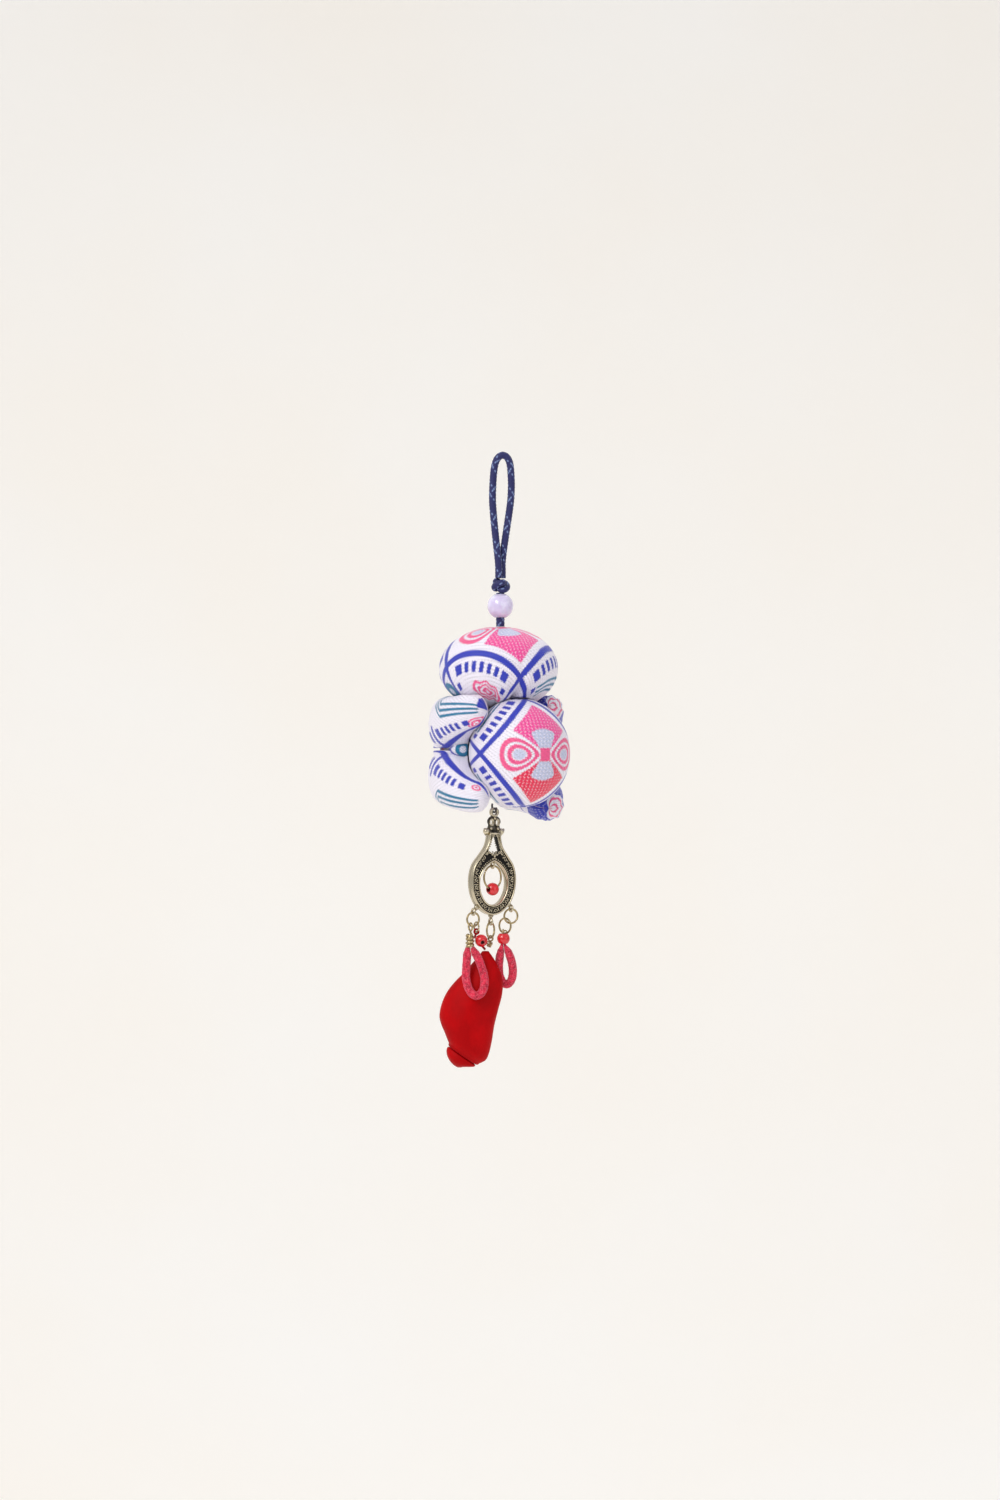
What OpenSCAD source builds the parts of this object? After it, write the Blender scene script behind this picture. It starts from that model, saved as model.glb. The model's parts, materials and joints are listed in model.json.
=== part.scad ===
// A brocade bag charm: a stuffed figure that hugs a ball, hung from a braided cord with one bead,
// with an openwork metal drop below it that carries two suede loops, three small beads and a flower.
// Millimetres. The origin is the inside top of the hanging loop. +Z is up, -Y is the front, +X is
// to the right seen from the front.

/* [Fit] */
// Gap kept between soft pieces that press on each other
gap = 0.45; // [0.4:0.05:0.5]

/* [Hanging cord] */
// Diameter of the braided cord
cord_d = 2.2; // [2:0.05:2.25]
// Drop from the inside top of the loop to the knot
loop_drop = 36.8; // [36.7:0.1:37.2]
// Height of the knot
knot_h = 4.3; // [4:0.1:4.4]
// Width of the knot
knot_w = 6.2; // [5.6:0.1:6.6]
// Diameter of the doubled cord below the knot
stem_d = 2.6; // [2.2:0.1:2.7]
// Length of the doubled cord that shows between the bead and the head
stem_show = 2.8; // [2.4:0.1:3]
// Diameter of the round stone bead on the cord
bead_d = 8; // [7.6:0.1:8.4]

/* [Stuffed figure] */
// Width of the head
head_w = 36; // [34:0.5:37]
// Front to back depth of the head
head_t = 32; // [30:0.5:34]
// Height of the head
head_h = 25.5; // [24:0.5:26.5]
// Width of the ball
ball_w = 30.8; // [30:0.2:31.6]
// Front to back depth of the ball
ball_t = 31.4; // [30.4:0.2:32.4]
// Height of the ball
ball_h = 33.4; // [32.6:0.2:34.2]
// Width of the torso
torso_w = 24.6; // [23.6:0.2:25.4]
// Height of the torso
torso_h = 34; // [32:0.5:35]
// Thickness of a limb where it leaves the torso
limb_root = 15.4; // [14:0.2:15.6]

/* [Metal drop] */
// Thickness of the cast drop over its raised rims
drop_t = 3; // [2.6:0.1:3.2]
// Thickness of the band between the rims
band_t = 2.1; // [1.8:0.1:2.3]
// Width of the raised rims
rim_w = 0.9; // [0.7:0.1:1]
// Turn of the drop about the vertical, its front towards the right
drop_yaw = 30; // [28:1:32]
// Lean of the drop in its own plane
drop_lean = 2; // [1:0.5:2.5]
// Wire radius of the jump rings
ring_r = 0.3; // [0.25:0.01:0.32]
// Diameter of the small painted beads
small_bead_d = 4; // [3.8:0.1:4.1]

/* [Suede and flower] */
// Width of the suede cord of the two lower loops
suede_d = 2.6; // [2.4:0.1:2.7]
// Wall thickness of the flower's outer petal
petal_wall = 1.1; // [0.9:0.1:1.2]
// Front to back depth of the flower at its fullest
flower_t = 11.4; // [10.6:0.2:11.6]

/* [Hidden] */
$fn = 48;

// Route of the hanging loop's centreline, from one strand at the knot to the other.
HANG_ROUTE = [[-1, -1.1, -36.6], [-1, -1.1, -34.4], [-1.1, -1.05, -31.8], [-1.5, -0.8, -28],
    [-2.1, -0.3, -22.5], [-2.6, -0.1, -17.2], [-2.9, 0, -12.6], [-2.8, 0, -8], [-2.6, 0, -5],
    [-2.3, 0, -2.4], [-1.7, 0, -0.4], [-0.8, 0, 0.8], [0.3, 0, 1.2], [1.4, 0, 0.7], [2.2, 0, -0.6],
    [2.6, 0, -2.4], [2.8, 0, -5], [2.9, 0, -8], [2.7, 0, -12.6], [2.1, 0.1, -17.2],
    [1.3, 0.3, -22.5], [0.5, 0.8, -28], [0.1, 1.05, -31.8], [0.1, 1.1, -34.4], [0.1, 1.1, -36.6]];
// Routes of the two suede loops, from one end to the other.
LEFT_ROUTE = [[-10.5, -6.9, -149.9], [-10.6, -7.1, -151.4], [-10.7, -7.4, -153], [-10.9, -7.9, -155.8],
    [-11, -8.5, -158.8], [-10.6, -9, -161.1], [-10, -9.4, -162.7], [-9, -9.6, -164],
    [-7.8, -9.7, -164.5], [-6.6, -9.7, -164], [-5.8, -9.6, -162.8], [-5.4, -9.3, -161.2],
    [-5.4, -8.9, -159], [-6.1, -8.3, -156.3], [-7.3, -7.6, -153.2], [-8.3, -7.1, -151.4],
    [-9.1, -6.9, -149.9]];
RIGHT_ROUTE = [[0, -2.5, -147.4], [0, -2.5, -149.3], [-0.4, -1.9, -151.4], [-0.7, -0.9, -153.4],
    [-0.9, 0, -155.4], [-0.9, 0.7, -157.4], [-0.6, 1.1, -159.3], [0.1, 1.3, -160.8],
    [1.1, 1.4, -161.6], [2.1, 1.3, -161.4], [2.9, 1.1, -160.3], [3.3, 0.8, -158.6],
    [3.3, 0.3, -156.6], [2.9, -0.7, -154.3], [2, -1.8, -151.7], [0.9, -2.5, -149.3], [0.9, -2.5, -147.4]];

// Heights that follow from the lengths along the cord.
knot_c = [-0.5, 0, -loop_drop - knot_h / 2];
// Lean of the knot's two turns of cord, and the turn between them.
knot_lean = 28;
knot_turn = 20;
bead_play = 0.05;
// How much wider than the doubled cord the stone bead's bore is.
stone_play = 0.3;
bead_c = [-0.5, 0, -loop_drop - knot_h - bead_d / 2 - bead_play];
head_top = [-0.9, 0, bead_c.z - bead_d / 2 - stem_show];
head_c = [-1.1, 0, head_top.z - head_h / 2 + 0.2];
// The doubled cord ends this far over the head's gathered top.
stem_clear = 0.45;
ball_c = [5.3, -7, -90.5];
torso_c = [-8.2, 5.6, -89.3];
pivot = [-2.4, -3, -108.6];

// Shapes of the soft parts as centre and half sizes, and how full the shape is between them.
HEAD = [head_c, [head_w, head_t, head_h] / 2];
BALL = [ball_c, [ball_w, ball_t, ball_h] / 2];
TORSO = [torso_c, [torso_w, torso_w, torso_h] / 2];
// The torso itself gives way a little where the limbs wrap round it.
TORSO_BODY = [torso_c, TORSO[1] - [2.2, 2.2, 2.2]];
fullness = 2;
// Azimuth, depth and half width in degrees of each fold that gathers the head towards its neck.
HEAD_FOLDS = [[20, 0.07, 10], [62, 0.06, 12], [110, 0.08, 10], [158, 0.06, 12], [205, 0.05, 10],
    [238, 0.05, 8], [262, 0.08, 7], [296, 0.17, 7], [338, 0.07, 10]];
// The same for the ball, whose folds lie at its hidden back.
BALL_FOLDS = [[95, 0.06, 14], [135, 0.08, 12], [175, 0.06, 14]];

// Route points of each limb's centreline and the heights that bound it: root, two guides, tip.
NEAR_ARM = [[-14, 8, -81], [-15.6, 0, -83.5], [-14, -12.5, -77.4], [-4.4, -15, -77.6]];
NEAR_LEG = [[-14, 8, -97.6], [-16, 0, -95], [-14, -12.5, -103.6], [-3.8, -15, -104]];
FAR_ARM = [[-4, 18, -81], [7, 22, -82], [14.2, 15, -80.5], [14, -0.5, -76]];
FAR_LEG = [[-4, 18, -98], [7, 22, -98], [14, 15, -105], [14.3, -1.5, -107.4]];
limb_split = -89.3;
// Share of the way along a limb, and its width and height there as shares of the root's thickness.
LIMB_SECTIONS = [[0, 1, 1.05], [0.3, 1, 1.17], [0.5, 0.97, 1], [0.7, 0.85, 0.8], [0.85, 0.65, 0.64], [1, 0.5, 0.5]];
limb_squareness = 2.4;
limb_rings = 18;
limb_sides = 22;

// Half width of the drop's outline at each height below the pivot.
DROP_OUTLINE = [[2, -6.2], [2.2, -8.4], [3, -10.8], [4.9, -13.4], [6.8, -16], [7.7, -18.8], [7.85, -21.6],
    [7.4, -24.7], [6.2, -27.6], [4.3, -29.8], [2.1, -31.2], [0, -31.7]];
// The same for the pointed oval opening.
OVAL_OUTLINE = [[0, -15.2], [1.5, -16], [3.3, -17.7], [4.4, -19.8], [4.7, -21.9], [4.3, -24.4],
    [3.1, -26.7], [1.6, -28], [0, -28.4]];
// Small drop-shaped window above the oval.
WINDOW_OUTLINE = [[0, -6.5], [0.8, -8], [1.4, -9.5], [2, -11], [1.9, -12.2], [0, -12.9]];
// Eyes soldered on the drop: place beside and below the pivot, direction of the neck that holds it.
EYES = [[-6.3, -30.7, 52], [-0.1, -33.6, 90], [7, -29.4, 125]];
eye_big = 0.95;
eye_wire = 0.33;
eye_neck = 0.88;
eye_reach = 1.35;
// Eye inside the top of the oval: its place below the pivot.
inner_eye_z = -16.2;
// The drop's top eye, and the sewn loop that it hangs in.
eye_hole = 0.72;
eye_r = 1.5;
eye_t = 1.2;
thread_r = 0.33;
thread_turn = 1.25;
thread_legs = [2.1, 3.55];
// The neck's discs, holes, shoulders and knobs: place beside and below the pivot, and radius.
LOOP_DISCS = [[0.95, -2.6, 1.4], [0.95, -3.5, 1.4]];
LOOP_HOLES = [[0.9, -2.9, 0.45], [0.9, -3.3, 0.45]];
SHOULDER = [1.3, -5.6, 1.25];
KNOB = [2.5, -5.9, 1.1];
loop_t = 1.8;
neck_t = 2;
neck_w = 4.6;
neck_h = 3.2;
neck_low = -7.3;
cut_t = 4;
// Bosses of the cast scrolls on the band.
boss_count = 24;
boss_r = 0.5;
boss_t = band_t + 0.55;
boss_inset = 1.9;
boss_top = -13;

// Jump rings and links: centre, turn of the ring's plane about the vertical, radius of the ring.
LEFT_RING = [[-8.85, -6.7, -141.35], 30, 2.1];
MIDDLE_RING = [[-3.5, -3.63, -144.75], 62, 2.4];
RIGHT_UPPER = [[2.75, 0, -140.6], 22, 2.2];
RIGHT_LOWER = [[0.95, 0.25, -143.6], -40, 2.3];
OVAL_RING = [[-2.9, -3.3, -128.6], 44, 3.6];
STEM_LINK = [[-7.81, -6.1, -143.7], 118, 1.5];
STEM_LOOP = [[-7.81, -6.1, -145.1], 28, 0.75];
CRIMP_LOOP = [[-9.62, -7.14, -143.6], -60, 1.15];
FLOWER_EYE = [[-3.5, -3.63, -147.3], -28, 0.8];
RIGHT_EYE = [[0.95, 0.3, -146], 50, 0.95];
link_wire = 0.25;
stem_r = 0.3;
stem_wall_r = 0.36;
wire_sides = 6;
coil_turn = 0.7;
coil_space = 0.27;
coil_wire = 0.28;
oval_bead_c = [-2.9, -3.3, -132.2];
flower_bead_c = [-6.35, -5.7, -147.9];
right_bead_c = [0.45, -2.5, -147.4];
// Bores of the three small beads, and the way that the flower's bead faces.
oval_bore = 1.5;
flower_bore = 1.1;
right_bore = 2.2;
flower_bead_d = small_bead_d - 0.1;
FLOWER_BORE_DIR = [0.25, -0.93, -0.27];
crimp_c = [-9.8, -6.9, -147.9];
// Two turns of wire at the flower pin's end: centre and the direction of their axis.
pin_coil_c = [-3.7, -3.8, -149.15];
pin_coil_dir = [0.85, -0.3, -0.43];

// Flower sections: height, left and right edge, half depth as a share of the fullest, slope.
WRAP_SECTIONS = [[-151.2, -6, -4.1, 0.2, 0], [-154, -8.3, -2.2, 0.45, 0], [-157.8, -11.7, -0.3, 0.66, 0],
    [-161, -14.8, 0.3, 0.8, 0], [-164.4, -17, 0, 0.88, -0.05], [-168.2, -18.5, -1.1, 0.95, -0.1],
    [-172.4, -19.2, -2.3, 1, -0.18], [-176.2, -18.7, -3.1, 0.98, -0.34], [-179.4, -17.6, -4, 0.94, -0.48],
    [-181.2, -17, -5, 0.9, -0.58], [-182.6, -16.3, -7, 0.78, -0.68]];
BUD_SECTIONS = [[-160, -11.6, -2.5, 0.3, 0], [-166, -15, -2.8, 0.55, -0.1], [-172, -16.6, -4.6, 0.68, -0.18],
    [-177.4, -15.9, -6.2, 0.64, -0.4], [-182.6, -14.7, -9, 0.52, -0.68], [-183.4, -16.5, -8.2, 0.66, -0.68],
    [-184.2, -17, -7.9, 0.7, -0.62], [-185, -16.9, -8.2, 0.69, -0.5], [-185.8, -16.2, -8.9, 0.6, -0.36],
    [-186.5, -15, -10.2, 0.42, -0.2]];
flower_y = -3.1;
flower_sides = 26;
// Points that close the wrapped petal at its top and the bud at its two ends.
WRAP_TOP = [-5, flower_y, -150.9];
BUD_TOP = [-7, flower_y, -158.8];
BUD_TIP = [-12.6, flower_y, -187];
// Route of the short stem that carries the flower, behind the bead.
STEM_ROUTE = [[-7.8, -6.1, -145.8], [-8.1, -5.1, -146.1], [-8.2, -3.7, -146.9], [-7.7, -2.5, -148],
    [-6.8, -2.1, -149.1], [-5.8, -2.5, -150], [-5.2, -3, -150.7]];
// Wire from the flower pin's turns into the back of its bead, and from the right eye into its bead.
FLOWER_PIN_ROUTE = [[-3.65, -3.8, -148.4], [-4.5, -3.3, -148.3], [-5.5, -2.9, -147.9], [-6.4, -3, -147.4],
    [-6.8, -3.6, -147.3], [-6.75, -4.2, -147.5], [-6.45, -5.3, -147.8]];
RIGHT_PIN_ROUTE = [[0.35, -0.4, -145.9], [0.3, -0.7, -145.1], [0.35, -1.4, -144.7], [0.4, -2.1, -144.8],
    [0.45, -2.45, -145.3], [0.45, -2.5, -146.2], [0.45, -2.5, -147.1]];
crimp_turn = 0.66;
crimp_wire = 0.62;
crimp_pitch = 1.15;
// Radius and height of the wire's inside, and the bent end that reaches the loop.
crimp_core = [0.9, 2.9];
crimp_tip = [0.1, -0.1, 2.3];
crimp_tip_r = 0.75;
crimp_loop_wire = 0.28;
suede_pinch = 0.5;
SUEDE_ENDS = [[0, 0.3], [1, 0.32], [2, 0.85], [3, 1], [13, 1], [14, 0.85], [15, 0.32], [16, 0.3]];

function lerp(a, b, t) = a + (b - a) * t;
function unit(v) = v / norm(v);
function clamp01(t) = min(1, max(0, t));
function smooth(t) = let(c = clamp01(t)) c * c * (3 - 2 * c);
function bezier(p, t) = let(s = 1 - t)
    s * s * s * p[0] + 3 * s * s * t * p[1] + 3 * s * t * t * p[2] + t * t * t * p[3];

// Value of column c of a table at x, where column 0 rises.
function column(table, x, c, i = 0) = i >= len(table) - 2 || x < table[i + 1][0]
    ? lerp(table[i][c], table[i + 1][c], clamp01((x - table[i][0]) / (table[i + 1][0] - table[i][0])))
    : column(table, x, c, i + 1);

// How far out p lies in a full, rounded shape s: 1 is its surface.
function reach(p, s, grow) = let(d = p - s[0], h = s[1] + [grow, grow, grow])
    pow(pow(abs(d.x / h.x), fullness) + pow(abs(d.y / h.y), fullness) + pow(abs(d.z / h.z), fullness),
        1 / fullness);
// p, moved out of the shape if it is inside it, so that soft parts press flat on each other.
function out_of(p, s, grow) = let(k = reach(p, s, grow)) k < 1 ? s[0] + (p - s[0]) / max(k, 0.05) : p;
function out_of_all(p, shapes, grow, times = 8) = times == 0 ? p
    : out_of_all(press(p, shapes, grow, 0), shapes, grow, times - 1);
function press(p, shapes, grow, i) = i == len(shapes) ? p
    : press(out_of(p, shapes[i], grow), shapes, grow, i + 1);

// Depth of all the folds at an azimuth.
function folds(table, az) = len(table) == 0 ? 0 : max([for (f = table)
    let(a = abs(((az - f[0] + 540) % 360) - 180)) f[1] * exp(-pow(a / f[2], 2))]);

// Rings of points round a full, rounded shape, gathered by folds below its middle.
function lobe_rings(s, table, shapes, rings, sides) = [for (i = [1 : rings - 1]) [for (j = [0 : sides - 1])
    let(polar = 180 * i / rings, az = 360 * j / sides,
        dir = [sin(polar) * cos(az), sin(polar) * sin(az), cos(polar)],
        r = 1 / reach(s[0] + dir, s, 0), fold = folds(table, az) * smooth((polar - 80) / 65))
    out_of_all(s[0] + dir * r * (1 - fold), shapes, gap)]];
function lobe_end(s, up, shapes) = out_of_all(s[0] + [0, 0, up * s[1].z], shapes, gap);

// Rings of points along a limb.
function limb_point(p, t, side) = let(
    centre = bezier(p, t), ahead = unit(bezier(p, min(1, t + 0.02)) - bezier(p, max(0, t - 0.02))),
    up = unit([0, 0, 1] - ahead * ahead.z), across = cross(ahead, up),
    first = sqrt(1 - pow(1 - min(1, t / 0.16), 2)), last = sqrt(1 - pow(max(0, (t - 0.88) / 0.12), 2)),
    w = limb_root / 2 * column(LIMB_SECTIONS, t, 1) * first * last,
    h = limb_root / 2 * column(LIMB_SECTIONS, t, 2) * first * last, az = 360 * side / limb_sides,
    round = pow(pow(abs(cos(az)), limb_squareness) + pow(abs(sin(az)), limb_squareness), -1 / limb_squareness))
    centre + (across * w * cos(az) + up * h * sin(az)) * round;
function above(p, z) = [p.x, p.y, max(p.z, z)];
function below(p, z) = [p.x, p.y, min(p.z, z)];
function bounded(p, upper) = upper ? above(p, limb_split + gap) : below(p, limb_split - gap);
function limb_rings_of(route, upper) = [for (i = [1 : limb_rings]) [for (j = [0 : limb_sides - 1])
    let(t = (1 - cos(180 * i / (limb_rings + 1))) / 2, p = limb_point(route, t, j))
    out_of_all(bounded(p, upper), [TORSO, HEAD, BALL], gap)]];

// Tube frames: a direction across each stretch, carried along the route without twisting.
function directions(p) = [for (i = [0 : len(p) - 1])
    unit(p[min(i + 1, len(p) - 1)] - p[max(i - 1, 0)])];
function carried(dirs, across, i = 0) = i == len(dirs) ? []
    : let(a = unit(across - dirs[i] * (across * dirs[i]))) concat([a], carried(dirs, a, i + 1));
function tube_rings(p, r, sides, across) = let(d = directions(p), a = carried(d, across))
    [for (i = [0 : len(p) - 1]) let(b = cross(d[i], a[i])) [for (j = [0 : sides - 1])
        p[i] + (a[i] * cos(360 * j / sides) + b * sin(360 * j / sides)) * (is_list(r) ? r[i] : r)]];

// A closed body through rings of points, with one point at each end.
module skin(rings, first, last) {
    n = len(rings[0]);
    m = len(rings);
    points = concat([first], [for (r = rings) each r], [last]);
    polyhedron(points, concat(
        [for (j = [0 : n - 1]) [0, 1 + j, 1 + (j + 1) % n]],
        [for (i = [0 : m - 2]) for (j = [0 : n - 1]) let(a = 1 + i * n + j, b = 1 + i * n + (j + 1) % n)
            each [[a, a + n, b + n], [a, b + n, b]]],
        [for (j = [0 : n - 1]) [1 + n * m, 1 + n * (m - 1) + (j + 1) % n, 1 + n * (m - 1) + j]]), convexity = 6);
}
module tube(p, r, sides = 8, across = [0, 1, 0]) {
    rings = tube_rings(p, r, sides, across);
    skin(rings, p[0], p[len(p) - 1]);
}
module torus(big, small) { rotate_extrude() translate([big, 0]) circle(small); }
// A ring that stands upright, its plane turned about the vertical from the X axis.
module upright_ring(spec, small) {
    translate(spec[0]) rotate([0, 0, spec[1]]) rotate([90, 0, 0]) torus(spec[2], small);
}
module bored_ball(c, d, bore, dir) {
    translate(c) rotate([0, acos(dir.z), atan2(dir.y, dir.x)]) difference() {
        sphere(d = d);
        cylinder(d = bore, h = d + 1, center = true);
    }
}

// Smooth curve through the rows of a table.
function curve_through(t, steps) = [for (i = [0 : len(t) - 2]) for (k = [0 : steps - 1])
    let(a = t[max(i - 1, 0)], b = t[i], c = t[i + 1], d = t[min(i + 2, len(t) - 1)], s = k / steps)
    (2 * b + (c - a) * s + (2 * a - 5 * b + 4 * c - d) * s * s + (3 * b - a - 3 * c + d) * s * s * s) / 2];
// A half outline mirrored to a closed one, right side downwards first.
function both_sides(t, steps) = let(half = concat(curve_through(t, steps), [t[len(t) - 1]]), n = len(half))
    concat(half, [for (i = [n - 1 : -1 : 0]) if (half[i].x > 0.01) [-half[i].x, half[i].y]]);
// The outline moved inwards by d along its normals.
function inset(p, d) = let(n = len(p)) [for (i = [0 : n - 1])
    let(a = p[(i + n - 1) % n], b = p[(i + 1) % n], t = unit(b - a)) if (p[i].y < DROP_OUTLINE[0].y)
    p[i] + [t.y, -t.x] * d];
module slab(outer, holes, t) {
    counts = [for (o = concat([outer], holes)) len(o)];
    starts = [for (i = [0 : len(counts) - 1]) i == 0 ? 0 : i == 1 ? counts[0] : counts[0] + counts[1]];
    rotate([90, 0, 0]) linear_extrude(height = t, center = true)
        polygon(concat(outer, [for (h = holes) each h]),
            [for (i = [0 : len(counts) - 1]) [for (k = [0 : counts[i] - 1]) starts[i] + k]]);
}

module hanging_cord() {
    color("midnightblue") tube(HANG_ROUTE, cord_d / 2);
}
module cord_knot() {
    turn = (knot_w - cord_d) / 2;
    color("navy") translate(knot_c) {
        sphere(d = knot_h);
        rotate([0, knot_lean, 0]) torus(turn, cord_d / 2);
        rotate([0, -knot_lean, knot_turn]) torus(turn, cord_d / 2);
    }
}
module stone_bead() {
    color("plum") bored_ball(bead_c, bead_d, stem_d + stone_play, [0, 0, 1]);
}
module cord_stem() {
    top = knot_c.z - knot_h / 2 - bead_play;
    low = head_top.z + stem_clear;
    color("midnightblue") translate([bead_c.x, 0, low]) cylinder(d = stem_d, h = top - low);
}
module lobe(s, table, shapes, rings, sides) {
    skin(lobe_rings(s, table, shapes, rings, sides), lobe_end(s, 1, shapes), lobe_end(s, -1, shapes));
}
module head() { color("lavender") lobe(HEAD, HEAD_FOLDS, [BALL], 16, 32); }
module ball() { color("hotpink") lobe(BALL, BALL_FOLDS, [], 16, 30); }
module torso() { color("lightsteelblue") lobe(TORSO_BODY, [], [BALL, HEAD], 18, 32); }
module limb(route, upper) {
    skin(limb_rings_of(route, upper),
        out_of_all(bounded(route[0], upper), [TORSO, HEAD, BALL], gap),
        out_of_all(bounded(route[3], upper), [TORSO, HEAD, BALL], gap));
}
module near_arm() { color("aliceblue") limb(NEAR_ARM, true); }
module near_leg() { color("powderblue") limb(NEAR_LEG, false); }
module far_arm() { color("aliceblue") limb(FAR_ARM, true); }
module far_leg() { color("powderblue") limb(FAR_LEG, false); }

// Everything below the figure is placed from the pivot.
module in_drop() {
    translate(pivot) rotate([0, 0, drop_yaw]) rotate([0, drop_lean, 0]) children();
}
module hanger_loop() {
    color("dimgray") translate(pivot + [0, 0, thread_turn]) rotate([0, 0, drop_yaw + 90]) {
        rotate([90, 0, 0]) rotate([0, 0, 180]) rotate_extrude(angle = 180)
            translate([thread_turn, 0]) circle(thread_r);
        for (i = [0, 1]) translate([(2 * i - 1) * thread_turn, 0, 0]) cylinder(r = thread_r, h = thread_legs[i]);
    }
}
module drop_frame() {
    outline = both_sides(DROP_OUTLINE, 3);
    oval = both_sides(OVAL_OUTLINE, 3);
    window = both_sides(WINDOW_OUTLINE, 2);
    color("darkgoldenrod") in_drop() {
        difference() {
            slab(inset(outline, 0.2), [inset(oval, -0.2)], band_t);
            slab(window, [], drop_t);
        }
        difference() {
            slab(outline, [], drop_t);
            slab(inset(outline, rim_w), [], 2 * drop_t);
            slab(window, [], 2 * drop_t);
        }
        slab(inset(oval, -rim_w), [oval], drop_t);
        // Scroll bosses along the middle of the band
        middle = [for (p = inset(outline, boss_inset)) if (p.y < boss_top) p];
        for (k = [0 : boss_count - 1]) let(p = middle[round(k * (len(middle) - 1) / (boss_count - 1))])
            translate([p.x, 0, p.y]) rotate([90, 0, 0]) cylinder(r = boss_r, h = boss_t, center = true);
        neck();
        for (e = EYES) {
            translate([e.x, 0, e.y]) rotate([0, 90, 0]) torus(eye_big, eye_wire);
            translate([e.x + eye_reach * cos(e.z), 0, e.y + eye_reach * sin(e.z)]) sphere(eye_neck);
        }
        translate([0, 0, inner_eye_z]) rotate([0, 90, 0]) torus(eye_big, eye_wire);
    }
}
// The openwork neck: an eye, a pair of small loops and two side knobs.
module neck() {
    difference() {
        neck_body();
        disc([0, 0, eye_hole], cut_t);
        for (side = [-1, 1], h = LOOP_HOLES) disc([side * h.x, h.y, h.z], cut_t);
        slab(both_sides(WINDOW_OUTLINE, 2), [], cut_t);
    }
}
module neck_body() {
    disc([0, 0, eye_r], eye_t);
    for (side = [-1, 1]) {
        for (d = LOOP_DISCS) disc([side * d.x, d.y, d.z], loop_t);
        disc([side * SHOULDER.x, SHOULDER.y, SHOULDER.z], neck_t);
        translate([side * KNOB.x, 0, KNOB.y]) sphere(KNOB.z);
    }
    translate([0, 0, neck_low]) cube([neck_w, neck_t, neck_h], center = true);
}
// A round plate in the drop's plane: its place beside and below the pivot, and its radius.
module disc(place, t) {
    translate([place.x, 0, place.y]) rotate([90, 0, 0]) cylinder(r = place.z, h = t, center = true);
}
module oval_ring() { color("goldenrod") upright_ring(OVAL_RING, ring_r); }
module oval_bead() {
    color("crimson") bored_ball(oval_bead_c, small_bead_d, oval_bore, [cos(OVAL_RING[1]), sin(OVAL_RING[1]), 0]);
}
module left_ring() { color("goldenrod") upright_ring(LEFT_RING, ring_r); }
module cord_crimp() {
    color("goldenrod") {
        translate(crimp_c) {
            for (k = [-1 : 1]) translate([0, 0, crimp_pitch * k]) torus(crimp_turn, crimp_wire);
            cylinder(r = crimp_core[0], h = crimp_core[1], center = true);
            translate(crimp_tip) sphere(crimp_tip_r);
        }
        upright_ring(CRIMP_LOOP, crimp_loop_wire);
    }
}
module suede_loop_left() {
    n = len(LEFT_ROUTE) - 1;
    color("deeppink") tube(LEFT_ROUTE, [for (i = [0 : n]) suede_d / 2 * (i == 0 || i == n ? suede_pinch : 1)]);
}
module stem_link() { color("goldenrod") upright_ring(STEM_LINK, link_wire); }
module flower_stem() {
    color("darkred") {
        upright_ring(STEM_LOOP, stem_r);
        tube(STEM_ROUTE, stem_wall_r, wire_sides, [1, 0, 0]);
    }
}
module middle_ring() { color("goldenrod") upright_ring(MIDDLE_RING, ring_r); }
module flower_pin() {
    color("goldenrod") {
        upright_ring(FLOWER_EYE, link_wire);
        translate(pin_coil_c) rotate([0, acos(pin_coil_dir.z), atan2(pin_coil_dir.y, pin_coil_dir.x)])
            for (k = [-1, 1]) translate([0, 0, coil_space * k]) torus(coil_turn, coil_wire);
        tube(FLOWER_PIN_ROUTE, link_wire, wire_sides, [0, 0, 1]);
    }
}
module flower_bead() { color("crimson") bored_ball(flower_bead_c, flower_bead_d, flower_bore, FLOWER_BORE_DIR); }
function section(s, side, shrink) = let(mid = (s[1] + s[2]) / 2, w = (s[2] - s[1]) / 2 - shrink,
    h = flower_t / 2 * s[3] - shrink, az = 360 * side / flower_sides, x = mid + w * cos(az))
    [x, flower_y + h * sin(az), s[0] + s[4] * (x - mid)];
function sections(table, shrink) = [for (s = table) [for (j = [0 : flower_sides - 1]) section(s, j, shrink)]];
module flower_wrap() {
    outer = sections(WRAP_SECTIONS, 0);
    inner = sections([for (i = [2 : len(WRAP_SECTIONS) - 1]) WRAP_SECTIONS[i]], petal_wall);
    last = WRAP_SECTIONS[2];
    color("firebrick") skin(concat(outer, [for (i = [len(inner) - 1 : -1 : 0]) inner[i]]),
        WRAP_TOP, [(last[1] + last[2]) / 2, flower_y, last[0]]);
}
module flower_bud() {
    color("red") skin(sections(BUD_SECTIONS, 0), BUD_TOP, BUD_TIP);
}
module right_ring_upper() { color("goldenrod") upright_ring(RIGHT_UPPER, ring_r); }
module right_ring_lower() { color("goldenrod") upright_ring(RIGHT_LOWER, ring_r); }
module right_pin() {
    color("goldenrod") {
        upright_ring(RIGHT_EYE, link_wire);
        tube(RIGHT_PIN_ROUTE, link_wire, wire_sides, [1, 0, 0]);
    }
}
module right_bead() { color("crimson") bored_ball(right_bead_c, small_bead_d, right_bore, [0, 0, 1]); }
module suede_loop_right() {
    color("deeppink") tube(RIGHT_ROUTE, [for (i = [0 : len(RIGHT_ROUTE) - 1])
        suede_d / 2 * column(SUEDE_ENDS, i, 1)]);
}

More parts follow.
